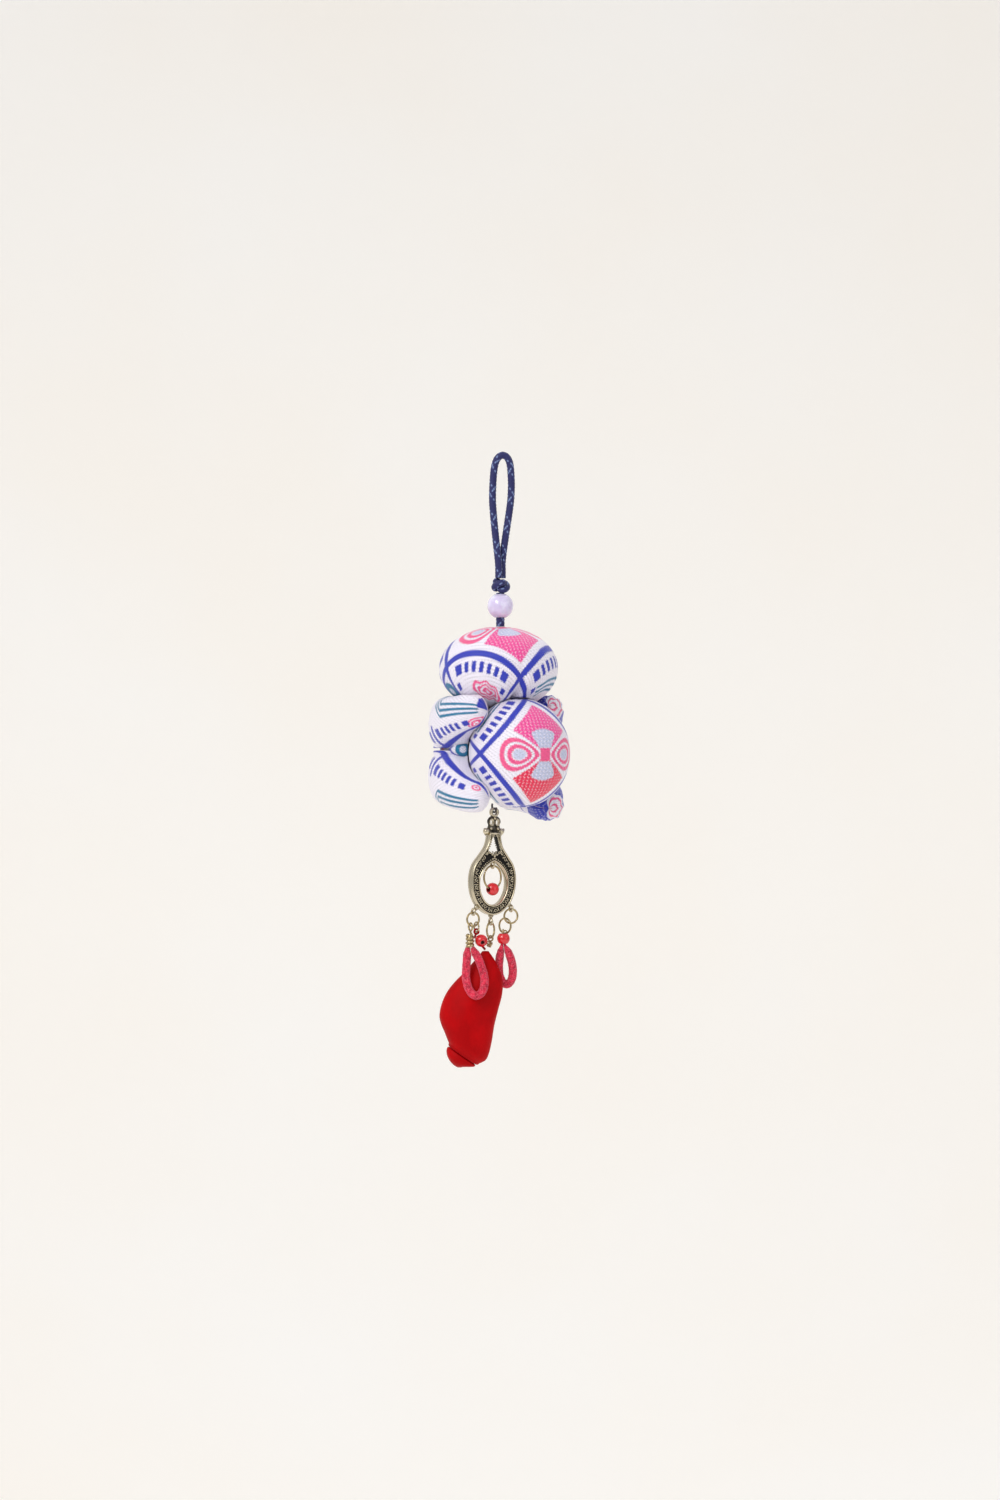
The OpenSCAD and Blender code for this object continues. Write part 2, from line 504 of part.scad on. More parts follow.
hanging_cord();
cord_knot();
stone_bead();
cord_stem();
head();
ball();
torso();
near_arm();
near_leg();
far_arm();
far_leg();
hanger_loop();
drop_frame();
oval_ring();
oval_bead();
left_ring();
cord_crimp();
suede_loop_left();
stem_link();
flower_stem();
middle_ring();
flower_pin();
flower_bead();
flower_wrap();
flower_bud();
right_ring_upper();
right_ring_lower();
right_pin();
right_bead();
suede_loop_right();
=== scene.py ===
import json
import math

import bmesh
import bpy
import numpy as np
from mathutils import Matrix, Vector

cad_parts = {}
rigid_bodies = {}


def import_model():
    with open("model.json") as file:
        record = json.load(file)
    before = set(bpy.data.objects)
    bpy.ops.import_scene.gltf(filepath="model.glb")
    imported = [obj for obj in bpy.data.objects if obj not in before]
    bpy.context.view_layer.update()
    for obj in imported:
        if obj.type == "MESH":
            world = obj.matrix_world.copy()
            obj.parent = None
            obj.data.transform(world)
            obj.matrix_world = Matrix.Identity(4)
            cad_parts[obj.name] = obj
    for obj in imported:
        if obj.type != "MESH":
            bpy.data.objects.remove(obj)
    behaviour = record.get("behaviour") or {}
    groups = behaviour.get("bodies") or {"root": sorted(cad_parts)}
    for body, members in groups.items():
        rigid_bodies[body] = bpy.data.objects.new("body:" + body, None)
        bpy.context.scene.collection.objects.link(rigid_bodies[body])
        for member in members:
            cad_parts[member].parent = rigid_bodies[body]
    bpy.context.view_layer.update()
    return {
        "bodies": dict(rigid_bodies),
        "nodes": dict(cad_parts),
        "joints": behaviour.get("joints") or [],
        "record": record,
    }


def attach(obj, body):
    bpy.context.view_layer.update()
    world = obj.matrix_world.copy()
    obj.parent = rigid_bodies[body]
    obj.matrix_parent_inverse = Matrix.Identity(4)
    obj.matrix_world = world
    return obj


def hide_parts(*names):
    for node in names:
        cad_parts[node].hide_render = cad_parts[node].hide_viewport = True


bl_info = {
    "name": "Brocade Bag Charm",
    "version": (1, 0, 0),
    "blender": (4, 5, 0),
    "location": "3D View > Sidebar > Charm",
    "description": "Dresses the packed bag charm: braided cord, brocade figure, cast drop, beads, "
                   "suede and flower",
    "category": "Add Mesh",
}

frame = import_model()

MM = 0.001
GAP = 0.45  # between the stuffed pieces, in millimetres

# Centres and half sizes of the soft shapes, in millimetres, as in the part's source.
KNOT = np.array([-0.5, 0.0, -38.95])
STONE = np.array([-0.5, 0.0, -45.15])
HEAD_TOP = -51.95
HEAD = (np.array([-1.1, 0.0, -64.5]), np.array([18.0, 16.0, 12.75]))
BALL = (np.array([5.3, -7.0, -90.5]), np.array([15.4, 15.7, 16.7]))
TORSO = (np.array([-8.2, 5.6, -89.3]), np.array([12.3, 12.3, 17.0]))
TORSO_BODY = (TORSO[0], TORSO[1] - 1.7)
FULLNESS = 2.0
# Folds that gather a shape's lower half: angle, depth as a share of the radius, half width in degrees.
HEAD_FOLDS = [(20, 0.07, 10), (62, 0.06, 12), (110, 0.08, 10), (158, 0.06, 12), (205, 0.05, 10),
              (238, 0.05, 8), (262, 0.08, 7), (296, 0.17, 7), (338, 0.07, 10)]
BALL_FOLDS = [(95, 0.06, 14), (135, 0.08, 12), (175, 0.06, 14)]
# Limbs: height of the parting, width at the root, and at shares of the way the width and height.
LIMB_SPLIT = -89.3
LIMB_ROOT = 15.4
LIMB_SECTIONS = np.array([[0, 1, 1.05], [0.3, 1, 1.17], [0.5, 0.97, 1], [0.7, 0.85, 0.8],
                          [0.85, 0.65, 0.64], [1, 0.5, 0.5]])
LIMB_SQUARENESS = 2.4
# Four control points of each limb's middle line.
LIMBS = {
    "near_arm": [[-14, 8, -81], [-15.6, 0, -83.5], [-14, -12.5, -77.4], [-4.4, -15, -77.6]],
    "near_leg": [[-14, 8, -97.6], [-16, 0, -95], [-14, -12.5, -103.6], [-3.8, -15, -104]],
    "far_arm": [[-4, 18, -81], [7, 22, -82], [14.2, 15, -80.5], [14, -0.5, -76]],
    "far_leg": [[-4, 18, -98], [7, 22, -98], [14, 15, -105], [14.3, -1.5, -107.4]],
}

# Routes of the cords' centrelines, in metres.
HANG_ROUTE = MM * np.array([
    [-1, -1.1, -36.6], [-1, -1.1, -34.4], [-1.1, -1.05, -31.8], [-1.5, -0.8, -28], [-2.1, -0.3, -22.5],
    [-2.6, -0.1, -17.2], [-2.9, 0, -12.6], [-2.8, 0, -8], [-2.6, 0, -5], [-2.3, 0, -2.4], [-1.7, 0, -0.4],
    [-0.8, 0, 0.8], [0.3, 0, 1.2], [1.4, 0, 0.7], [2.2, 0, -0.6], [2.6, 0, -2.4], [2.8, 0, -5],
    [2.9, 0, -8], [2.7, 0, -12.6], [2.1, 0.1, -17.2], [1.3, 0.3, -22.5], [0.5, 0.8, -28],
    [0.1, 1.05, -31.8], [0.1, 1.1, -34.4], [0.1, 1.1, -36.6]])
LEFT_ROUTE = MM * np.array([
    [-10.5, -6.9, -149.9], [-10.6, -7.1, -151.4], [-10.7, -7.4, -153], [-10.9, -7.9, -155.8],
    [-11, -8.5, -158.8], [-10.6, -9, -161.1], [-10, -9.4, -162.7], [-9, -9.6, -164], [-7.8, -9.7, -164.5],
    [-6.6, -9.7, -164], [-5.8, -9.6, -162.8], [-5.4, -9.3, -161.2], [-5.4, -8.9, -159],
    [-6.1, -8.3, -156.3], [-7.3, -7.6, -153.2], [-8.3, -7.1, -151.4], [-9.1, -6.9, -149.9]])
RIGHT_ROUTE = MM * np.array([
    [0, -2.5, -147.4], [0, -2.5, -149.3], [-0.4, -1.9, -151.4], [-0.7, -0.9, -153.4], [-0.9, 0, -155.4],
    [-0.9, 0.7, -157.4], [-0.6, 1.1, -159.3], [0.1, 1.3, -160.8], [1.1, 1.4, -161.6], [2.1, 1.3, -161.4],
    [2.9, 1.1, -160.3], [3.3, 0.8, -158.6], [3.3, 0.3, -156.6], [2.9, -0.7, -154.3], [2, -1.8, -151.7],
    [0.9, -2.5, -149.3], [0.9, -2.5, -147.4]])
# Width along the right route as a share of the cord's: its ends are thin where the bead takes them.
RIGHT_ENDS = np.array([[0, 0.3], [1, 0.32], [2, 0.85], [3, 1], [13, 1], [14, 0.85], [15, 0.32],
                       [16, 0.3]])

# The cast drop, in its own plane below the pivot, in millimetres.
PIVOT = np.array([-2.4, -3.0, -108.6])
DROP_YAW = 30
DROP_LEAN = 2
DROP_OUTLINE = [[2, -6.2], [2.2, -8.4], [3, -10.8], [4.9, -13.4], [6.8, -16], [7.7, -18.8], [7.85, -21.6],
                [7.4, -24.7], [6.2, -27.6], [4.3, -29.8], [2.1, -31.2], [0, -31.7]]
OVAL_OUTLINE = [[0, -15.2], [1.5, -16], [3.3, -17.7], [4.4, -19.8], [4.7, -21.9], [4.3, -24.4],
                [3.1, -26.7], [1.6, -28], [0, -28.4]]
WINDOW_OUTLINE = [[0, -6.5], [0.8, -8], [1.4, -9.5], [2, -11], [1.9, -12.2], [0, -12.9]]
# Eyes at the lower rail: place, height and the way to the rail in degrees.
EYES = [[-6.3, -30.7, 52], [-0.1, -33.6, 90], [7, -29.4, 125]]

# Creases of the head's front that run into the neck: angle, depth in millimetres, half width in degrees.
NECK_CREASES = [[299, 1.2, 4.2], [286, 0.7, 3.2], [311, 0.8, 3.4], [274, 0.45, 3.0], [322, 0.4, 3.0]]

# Brocade along the near limbs, in millimetres from the root: where the bars and the tip's swirl begin,
# and how far before the bars the frame line crosses.
BARS_FROM = {"near_arm": 21.6, "near_leg": 21.2}
TIP_FROM = {"near_arm": 40.6, "near_leg": 41.5}
LIMB_CROSSING = 3.6

# Radius in millimetres on which each piece's chart is laid.
CHART_RADIUS = {"head": 15.0, "ball": 16.1, "torso": 18.2, "limb": 7.5}

# Cloth simulation: pieces are simulated larger than they are, then scaled back.
CLOTH_SCALE, CLOTH_FRAMES, CLOTH_QUALITY, CLOTH_PRESSURE = 20.0, 20, 3, 4

# Rings and links: centre, turn of the plane about the vertical, radius, wire radius, angle of the cut.
RINGS = {
    "left_ring": ([-8.85, -6.7, -141.35], 30, 2.1, 0.3, 70),
    "middle_ring": ([-3.5, -3.63, -144.75], 62, 2.4, 0.3, 200),
    "right_ring_upper": ([2.75, 0, -140.6], 22, 2.2, 0.3, 320),
    "right_ring_lower": ([0.95, 0.25, -143.6], -40, 2.3, 0.3, 25),
    "oval_ring": ([-2.9, -3.3, -128.6], 44, 3.6, 0.3, 150),
    "stem_link": ([-7.81, -6.1, -143.7], 118, 1.5, 0.25, 185),
}
STEM_LOOP = ([-7.81, -6.1, -145.1], 28, 0.75, 0.3)
CRIMP_LOOP = ([-9.62, -7.14, -143.6], -60, 1.15, 0.28)
FLOWER_EYE = ([-3.5, -3.63, -147.3], -28, 0.8, 0.25)
RIGHT_EYE = ([0.95, 0.3, -146], 50, 0.95, 0.25)
BEADS = {
    "oval_bead": ([-2.9, -3.3, -132.2], 4.0, 1.5,
                  [math.cos(math.radians(44)), math.sin(math.radians(44)), 0]),
    "flower_bead": ([-6.35, -5.7, -147.9], 3.9, 1.1, [0.25, -0.93, -0.27]),
    "right_bead": ([0.45, -2.5, -147.4], 4.0, 2.2, [0, 0, 1]),
}
CRIMP = np.array([-9.8, -6.9, -147.9])
STEM_ROUTE = [[-7.8, -6.1, -145.8], [-8.1, -5.1, -146.1], [-8.2, -3.7, -146.9], [-7.7, -2.5, -148],
              [-6.8, -2.1, -149.1], [-5.8, -2.5, -150], [-5.2, -3, -150.7]]
FLOWER_PIN_ROUTE = [[-3.65, -3.8, -148.4], [-4.5, -3.3, -148.3], [-5.5, -2.9, -147.9], [-6.4, -3, -147.4],
                    [-6.8, -3.6, -147.3], [-6.75, -4.2, -147.5], [-6.45, -5.3, -147.8]]
RIGHT_PIN_ROUTE = [[0.35, -0.4, -145.9], [0.3, -0.7, -145.1], [0.35, -1.4, -144.7], [0.4, -2.1, -144.8],
                   [0.45, -2.45, -145.3], [0.45, -2.5, -146.2], [0.45, -2.5, -147.1]]
PIN_COIL = np.array([-3.7, -3.8, -149.15])
PIN_COIL_DIR = [0.85, -0.3, -0.43]

# Flower sections: height, left and right edge, half depth as a share of the fullest, slope.
WRAP_SECTIONS = np.array([
    [-151.2, -6, -4.1, 0.2, 0], [-154, -8.3, -2.2, 0.45, 0], [-157.8, -11.7, -0.3, 0.66, 0],
    [-161, -14.8, 0.3, 0.8, 0], [-164.4, -17, 0, 0.88, -0.05], [-168.2, -18.5, -1.1, 0.95, -0.1],
    [-172.4, -19.2, -2.3, 1, -0.18], [-176.2, -18.7, -3.1, 0.98, -0.34], [-179.4, -17.6, -4, 0.94, -0.48],
    [-181.2, -17, -5, 0.9, -0.58], [-182.6, -16.3, -7, 0.78, -0.68]])
BUD_SECTIONS = np.array([
    [-160, -11.6, -2.5, 0.3, 0], [-166, -15, -2.8, 0.55, -0.1], [-172, -16.6, -4.6, 0.68, -0.18],
    [-177.4, -15.9, -6.2, 0.64, -0.4], [-182.6, -14.7, -9, 0.52, -0.68], [-183.4, -16.5, -8.2, 0.66, -0.68],
    [-184.1, -17, -8.6, 0.7, -0.62], [-184.9, -16.9, -9.4, 0.69, -0.5], [-185.7, -16.2, -10.2, 0.6, -0.36],
    [-186.4, -15, -11.4, 0.42, -0.2], [-186.9, -13.6, -12.4, 0.14, 0]])
FLOWER_Y = -3.1
FLOWER_T = 11.4


def srgb(red, green, blue):
    """A display colour from 0 to 255 as the linear colour that shaders use."""
    values = []
    for part in (red, green, blue):
        part = part / 255
        values.append(part / 12.92 if part <= 0.04045 else ((part + 0.055) / 1.055) ** 2.4)
    return (*values, 1.0)


def colour_property(name, description, default):
    return bpy.props.FloatVectorProperty(name=name, description=description, subtype="COLOR", size=4,
                                         min=0, max=1, default=default)


def length_property(name, description, default):
    return bpy.props.FloatProperty(name=name, description=description, default=default, min=0, precision=5,
                                   unit="LENGTH", subtype="DISTANCE")


class CharmSizes(bpy.types.PropertyGroup):
    cord_d: length_property("Cord", "Diameter of the braided cord", 0.0022)
    stem_d: length_property("Doubled cord", "Diameter of the cord under the knot", 0.0026)
    braid_pitch: length_property("Braid pitch", "Length of one turn of a strand of the braid", 0.0088)
    braid_relief: length_property("Braid relief", "How far the strands of the braid stand out", 0.00013)
    suede_d: length_property("Suede", "Width of the suede cord", 0.0026)
    nap: length_property("Nap", "Length of the suede's fibres", 0.00022)
    granule: length_property("Granule", "Radius of the granules on the cast drop", 0.0002)
    plate_t: length_property("Plate", "Thickness of the drop between its rails", 0.002)
    rail_t: length_property("Rail", "Thickness of the drop over its rails", 0.003)
    pucker: length_property("Pucker", "Depth of the finest folds of the stuffed cloth", 0.00022)
    thread_pitch: length_property("Thread pitch", "Distance between the threads of the brocade", 0.0005)
    granules: bpy.props.IntProperty(
        name="Granules", description="Granules along the outer line of the drop", default=92, min=10)
    scrolls: bpy.props.IntProperty(
        name="Scrolls", description="Scrolls along one side of the drop's band", default=21, min=4)


class CharmColours(bpy.types.PropertyGroup):
    page: colour_property("Floor", "Floor and backdrop", srgb(246, 246, 245))
    cord: colour_property("Cord", "Navy strands of the braid", srgb(22, 26, 92))
    cord_fleck: colour_property("Cord fleck", "Pale strands of the braid", srgb(128, 150, 200))
    stone: colour_property("Stone", "Lavender stone", srgb(228, 224, 249))
    ground: colour_property("Ground", "Satin ground of the brocade", srgb(247, 242, 255))
    frame_blue: colour_property("Frame", "Blue frames and bars", srgb(44, 58, 190))
    petal: colour_property("Petal", "Pink petals", srgb(250, 76, 160))
    petal_low: colour_property("Coral petal", "Coral petals opposite", srgb(240, 24, 76))
    eye: colour_property("Eye petal", "Pink outlines", srgb(250, 92, 150))
    tab: colour_property("Petal tab", "Grey lavender tabs in the petals", srgb(200, 206, 236))
    stripe: colour_property("Stripe", "Teal stripes", srgb(6, 122, 166))
    metal: colour_property("Metal", "Polished antique metal", srgb(204, 194, 170))
    metal_dark: colour_property("Recess", "Dark recesses of the metal", srgb(16, 12, 9))
    brass: colour_property("Brass", "Brass wire", srgb(194, 176, 136))
    lacquer: colour_property("Lacquer", "Red beads", srgb(226, 20, 34))
    suede: colour_property("Suede", "Suede cord", srgb(236, 42, 76))
    flower: colour_property("Flower", "Matte red flower", srgb(184, 0, 6))


def sizes():
    return bpy.context.scene.charm_sizes


def colours():
    return bpy.context.scene.charm_colours


# Points and meshes

def unit(v):
    v = np.asarray(v, float)
    return v / np.maximum(np.linalg.norm(v, axis=-1, keepdims=True), 1e-12)


def smooth(t):
    t = np.clip(t, 0, 1)
    return t * t * (3 - 2 * t)


def spline(points, count, closed=False):
    """Evenly spaced points of the smooth curve through the given ones."""
    p = np.asarray(points, float)
    if closed:
        padded = np.vstack([p[-1], p, p[0], p[1]])
    else:
        padded = np.vstack([2 * p[0] - p[1], p, 2 * p[-1] - p[-2]])
    s = np.linspace(0, 1, 24, endpoint=False)[:, None]
    fine = []
    for a, b, c, d in zip(padded[:-3], padded[1:-2], padded[2:-1], padded[3:]):
        fine.append((2 * b + (c - a) * s + (2 * a - 5 * b + 4 * c - d) * s ** 2
                     + (3 * b - a - 3 * c + d) * s ** 3) / 2)
    fine = np.vstack(fine + [padded[-2:-1] if closed else p[-1:]])
    far = np.concatenate([[0], np.cumsum(np.linalg.norm(np.diff(fine, axis=0), axis=1))])
    at = np.linspace(0, far[-1], count, endpoint=not closed)
    return np.stack([np.interp(at, far, fine[:, k]) for k in range(fine.shape[1])], axis=1)


def arc_lengths(path):
    return np.concatenate([[0], np.cumsum(np.linalg.norm(np.diff(path, axis=0), axis=1))])


def carried_frames(path, across=(0, 1, 0), closed=False):
    """Two directions across the path at each point, carried along it without twisting."""
    if closed:
        ahead = unit(np.roll(path, -1, axis=0) - np.roll(path, 1, axis=0))
    else:
        ahead = unit(np.gradient(path, axis=0))
    a = np.asarray(across, float)
    firsts = []
    for d in ahead:
        a = unit(a - d * (a @ d))
        firsts.append(a)
    firsts = np.array(firsts)
    seconds = np.cross(ahead, firsts)
    if closed:
        last = unit(firsts[-1] - ahead[0] * (firsts[-1] @ ahead[0]))
        slip = math.atan2(last @ seconds[0], last @ firsts[0])
        turn = -slip * np.arange(len(path)) / len(path)
        c, s = np.cos(turn)[:, None], np.sin(turn)[:, None]
        firsts, seconds = firsts * c + seconds * s, seconds * c - firsts * s
    return firsts, seconds


def sweep(path, radius, sides, across=(0, 1, 0), closed=False, flat=1.0, relief=None):
    """Rings of points round a path. relief(angle, distance) is added to the radius."""
    a, b = carried_frames(path, across, closed)
    angle = np.arange(sides) * 2 * math.pi / sides
    far = arc_lengths(path)
    r = np.broadcast_to(np.asarray(radius, float).reshape(-1, 1), (len(path), sides)).copy()
    if relief is not None:
        r = r + relief(angle[None, :], far[:, None])
    return (path[:, None] + a[:, None] * (r * np.cos(angle))[..., None] * flat
            + b[:, None] * (r * np.sin(angle))[..., None])


def new_object(name, points, faces, material, uv=None, marks=None, turned=True):
    """An object at the origin from points in metres. uv is one pair a point, or one pair a face corner."""
    mesh = bpy.data.meshes.new(name)
    mesh.from_pydata([tuple(p) for p in np.asarray(points, float)], [], faces)
    mesh.validate()
    for key, values in (marks or {}).items():
        mark = mesh.attributes.new(key, "FLOAT", "POINT")
        mark.data.foreach_set("value", np.asarray(values, np.float32).ravel())
    if uv is not None:
        uv = np.asarray(uv, np.float32)
        if len(uv) == len(mesh.vertices):
            corner = np.zeros(len(mesh.loops), np.int32)
            mesh.loops.foreach_get("vertex_index", corner)
            uv = uv[corner]
        mesh.uv_layers.new(name="Chart").data.foreach_set("uv", uv.ravel())
    if turned:
        work = bmesh.new()
        work.from_mesh(mesh)
        bmesh.ops.recalc_face_normals(work, faces=work.faces)
        work.to_mesh(mesh)
        work.free()
    mesh.shade_smooth()
    mesh.materials.append(material)
    obj = bpy.data.objects.new(name, mesh)
    bpy.context.scene.collection.objects.link(obj)
    return obj


def grid(rings, closed=False, ends=True):
    """Points and faces of a skin through rings. Open skins are closed by a point at each end."""
    m, n = rings.shape[:2]
    points = rings.reshape(-1, 3)
    a = (np.arange(m if closed else m - 1)[:, None] * n + np.arange(n)[None, :])
    b = (np.arange(m if closed else m - 1)[:, None] * n + (np.arange(n)[None, :] + 1) % n)
    quads = np.stack([a, (a + n) % (m * n), (b + n) % (m * n), b], axis=-1).reshape(-1, 4)
    faces = [tuple(q) for q in quads.tolist()]
    if ends and not closed:
        points = np.vstack([points, rings[0].mean(0), rings[-1].mean(0)])
        faces += [(m * n, j, (j + 1) % n) for j in range(n)]
        faces += [(m * n + 1, (m - 1) * n + (j + 1) % n, (m - 1) * n + j) for j in range(n)]
    return points, faces


class Parts:
    """Collects shapes, each with its marks, into one mesh."""

    def __init__(self, *keys):
        self.points, self.faces, self.count = [], [], 0
        self.marks = {key: [] for key in keys}

    def add(self, points, faces, **marks):
        self.points.append(np.asarray(points, float))
        self.faces += [tuple(i + self.count for i in f) for f in faces]
        self.count += len(points)
        for key, values in self.marks.items():
            values.append(np.broadcast_to(np.asarray(marks.get(key, 0.0), float), (len(points),)))

    def build(self, name, material, scale=MM, turned=True):
        marks = {key: np.concatenate(values) for key, values in self.marks.items()}
        return new_object(name, np.vstack(self.points) * scale, self.faces, material, marks=marks,
                          turned=turned)


def lathe(profile, sides, axis=(0, 0, 1), centre=(0, 0, 0), closed=True):
    """Points and faces of a profile of (radius, height) turned round an axis."""
    axis = unit(axis)
    side = unit(np.cross(axis, [0.3, 1, 0.2]))
    other = np.cross(axis, side)
    angle = np.arange(sides) * 2 * math.pi / sides
    profile = np.asarray(profile, float)
    out = side * np.cos(angle)[:, None] + other * np.sin(angle)[:, None]
    rings = centre + out[None] * profile[:, :1, None] + axis * profile[:, 1:, None]
    return grid(rings, closed=closed)


# Half the angle of a ring's sawn gap in radians, and how far the wire narrows at its cut ends.
CUT_HALF, CUT_END = 0.035, 0.86


def upright_ring(spec, cut=None, sides=16, steps=72):
    """A round wire in a standing plane. cut is the angle of its sawn gap, or None."""
    centre, yaw, radius, wire = spec[:4]
    yaw = math.radians(yaw)
    flat = np.array([math.cos(yaw), math.sin(yaw), 0])
    if cut is None:
        angle = np.linspace(0, 2 * math.pi, steps, endpoint=False)
    else:
        angle = math.radians(cut) + np.linspace(CUT_HALF, 2 * math.pi - CUT_HALF, steps)
    around = flat * np.cos(angle)[:, None] + [0, 0, 1] * np.sin(angle)[:, None]
    path = np.asarray(centre) + radius * around
    if cut is None:
        return grid(sweep(path, wire, sides, np.cross(flat, [0, 0, 1]), closed=True), closed=True)
    rings = sweep(path, wire, sides, np.cross(flat, [0, 0, 1]))
    middle = rings[[0, -1]].mean(1, keepdims=True)
    ends = middle + (rings[[0, -1]] - middle) * CUT_END
    return grid(np.concatenate([ends[:1], rings, ends[1:]]))


def finish_piece(obj, body, slot, *nodes, fill=None):
    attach(obj, body)
    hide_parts(*nodes)
    return obj


# Node trees

class Field:
    """A value in a shader tree that can be added, scaled and compared, so that patterns read as sums."""

    def __init__(self, tree, socket):
        self.tree, self.socket = tree, socket

    def math(self, operation, *values, clamp=False):
        node = self.tree.nodes.new("ShaderNodeMath")
        node.operation = operation
        node.use_clamp = clamp
        for target, value in zip(node.inputs, (self, *values)):
            if isinstance(value, Field):
                self.tree.links.new(value.socket, target)
            else:
                target.default_value = value
        return Field(self.tree, node.outputs[0])

    def __add__(self, other):
        return self.math("ADD", other)

    def __sub__(self, other):
        return self.math("SUBTRACT", other)

    def __radd__(self, other):
        return self.math("ADD", other)

    def __mul__(self, other):
        return self.math("MULTIPLY", other)

    def __truediv__(self, other):
        return self.math("DIVIDE", other)

    def __abs__(self):
        return self.math("ABSOLUTE")

    def __invert__(self):
        return self.math("MULTIPLY_ADD", -1.0, 1.0, clamp=True)

    def least(self, other):
        return self.math("MINIMUM", other)

    def most(self, other):
        return self.math("MAXIMUM", other)

    def squared(self):
        return self.math("POWER", 2.0)

    def below(self, edge, soft=0.14):
        return self.math("MULTIPLY_ADD", -1 / soft, edge / soft + 0.5, clamp=True)

    def above(self, edge, soft=0.14):
        return self.math("MULTIPLY_ADD", 1 / soft, 0.5 - edge / soft, clamp=True)

    def within(self, centre, half, soft=0.14):
        return abs(self - centre).below(half, soft)

    def nearest(self, period):
        """Distance to the nearest multiple of the period."""
        return self.math("PINGPONG", period / 2)

    def wave(self, period):
        """A triangle wave from -1 to 1."""
        return self.nearest(period).math("MULTIPLY_ADD", 4 / period, -1.0)


def add_sockets(tree, inputs, outputs):
    """Named sockets of a node group, each as (name, kind, default)."""
    for direction, items in (("INPUT", inputs), ("OUTPUT", outputs)):
        for name, kind, default in items:
            socket = tree.interface.new_socket(name=name, in_out=direction, socket_type=kind)
            if default is not None:
                socket.default_value = default


def shader_group(name, inputs, outputs):
    """A new shader node group, its input node and its output node."""
    tree = bpy.data.node_groups.new(name, "ShaderNodeTree")
    add_sockets(tree, inputs, outputs)
    return tree, tree.nodes.new("NodeGroupInput"), tree.nodes.new("NodeGroupOutput")


def split(tree, socket):
    node = tree.nodes.new("ShaderNodeSeparateXYZ")
    tree.links.new(socket, node.inputs[0])
    return [Field(tree, out) for out in node.outputs]


def paint(tree, under, colour, mask):
    """The colour laid over the one under it where the mask is 1."""
    node = tree.nodes.new("ShaderNodeMix")
    node.data_type = "RGBA"
    tree.links.new(mask.socket, node.inputs[0])
    for target, value in ((node.inputs[6], under), (node.inputs[7], colour)):
        if isinstance(value, bpy.types.NodeSocket):
            tree.links.new(value, target)
        else:
            target.default_value = value
    return node.outputs[2]


def noise(tree, vector, scale, detail=3.0, roughness=0.55):
    node = tree.nodes.new("ShaderNodeTexNoise")
    node.inputs["Scale"].default_value = scale
    node.inputs["Detail"].default_value = detail
    node.inputs["Roughness"].default_value = roughness
    tree.links.new(vector, node.inputs["Vector"])
    return Field(tree, node.outputs["Fac"])


def object_millimetres(tree):
    """Object coordinates in millimetres."""
    place = tree.nodes.new("ShaderNodeTexCoord")
    scale = tree.nodes.new("ShaderNodeVectorMath")
    scale.operation = "SCALE"
    scale.inputs["Scale"].default_value = 1 / MM
    tree.links.new(place.outputs["Object"], scale.inputs[0])
    return scale.outputs[0]


def chart(tree):
    """The piece's own chart, in millimetres."""
    node = tree.nodes.new("ShaderNodeUVMap")
    node.uv_map = "Chart"
    return node.outputs[0]


def attribute(tree, name):
    node = tree.nodes.new("ShaderNodeAttribute")
    node.attribute_name = name
    return Field(tree, node.outputs["Fac"])


def group_node(tree, group, **values):
    """A group placed in a tree. Values go to the inputs of the same name, _ standing for a space."""
    node = tree.nodes.new("ShaderNodeGroup")
    node.node_tree = group
    for name, value in values.items():
        target = node.inputs[name.replace("_", " ")]
        if isinstance(value, Field):
            value = value.socket
        if isinstance(value, bpy.types.NodeSocket):
            tree.links.new(value, target)
        else:
            target.default_value = value
    return node


def new_material(name, **constants):
    """A material with its Principled shader's own sockets set."""
    material = bpy.data.materials.new(name)
    material.use_nodes = True
    shader = material.node_tree.nodes["Principled BSDF"]
    for key, value in constants.items():
        shader.inputs[key.replace("_", " ")].default_value = value
    return material, material.node_tree, shader


def bump(tree, shader, height, distance, strength=1.0):
    """A Bump node between a height and the shader's normal, chained after one already there."""
    node = tree.nodes.new("ShaderNodeBump")
    node.inputs["Distance"].default_value = distance
    node.inputs["Strength"].default_value = strength
    tree.links.new(height.socket if isinstance(height, Field) else height, node.inputs["Height"])
    if shader.inputs["Normal"].is_linked:
        tree.links.new(shader.inputs["Normal"].links[0].from_socket, node.inputs["Normal"])
    tree.links.new(node.outputs[0], shader.inputs["Normal"])


def link_to(tree, value, target):
    tree.links.new(value.socket if isinstance(value, Field) else value, target)


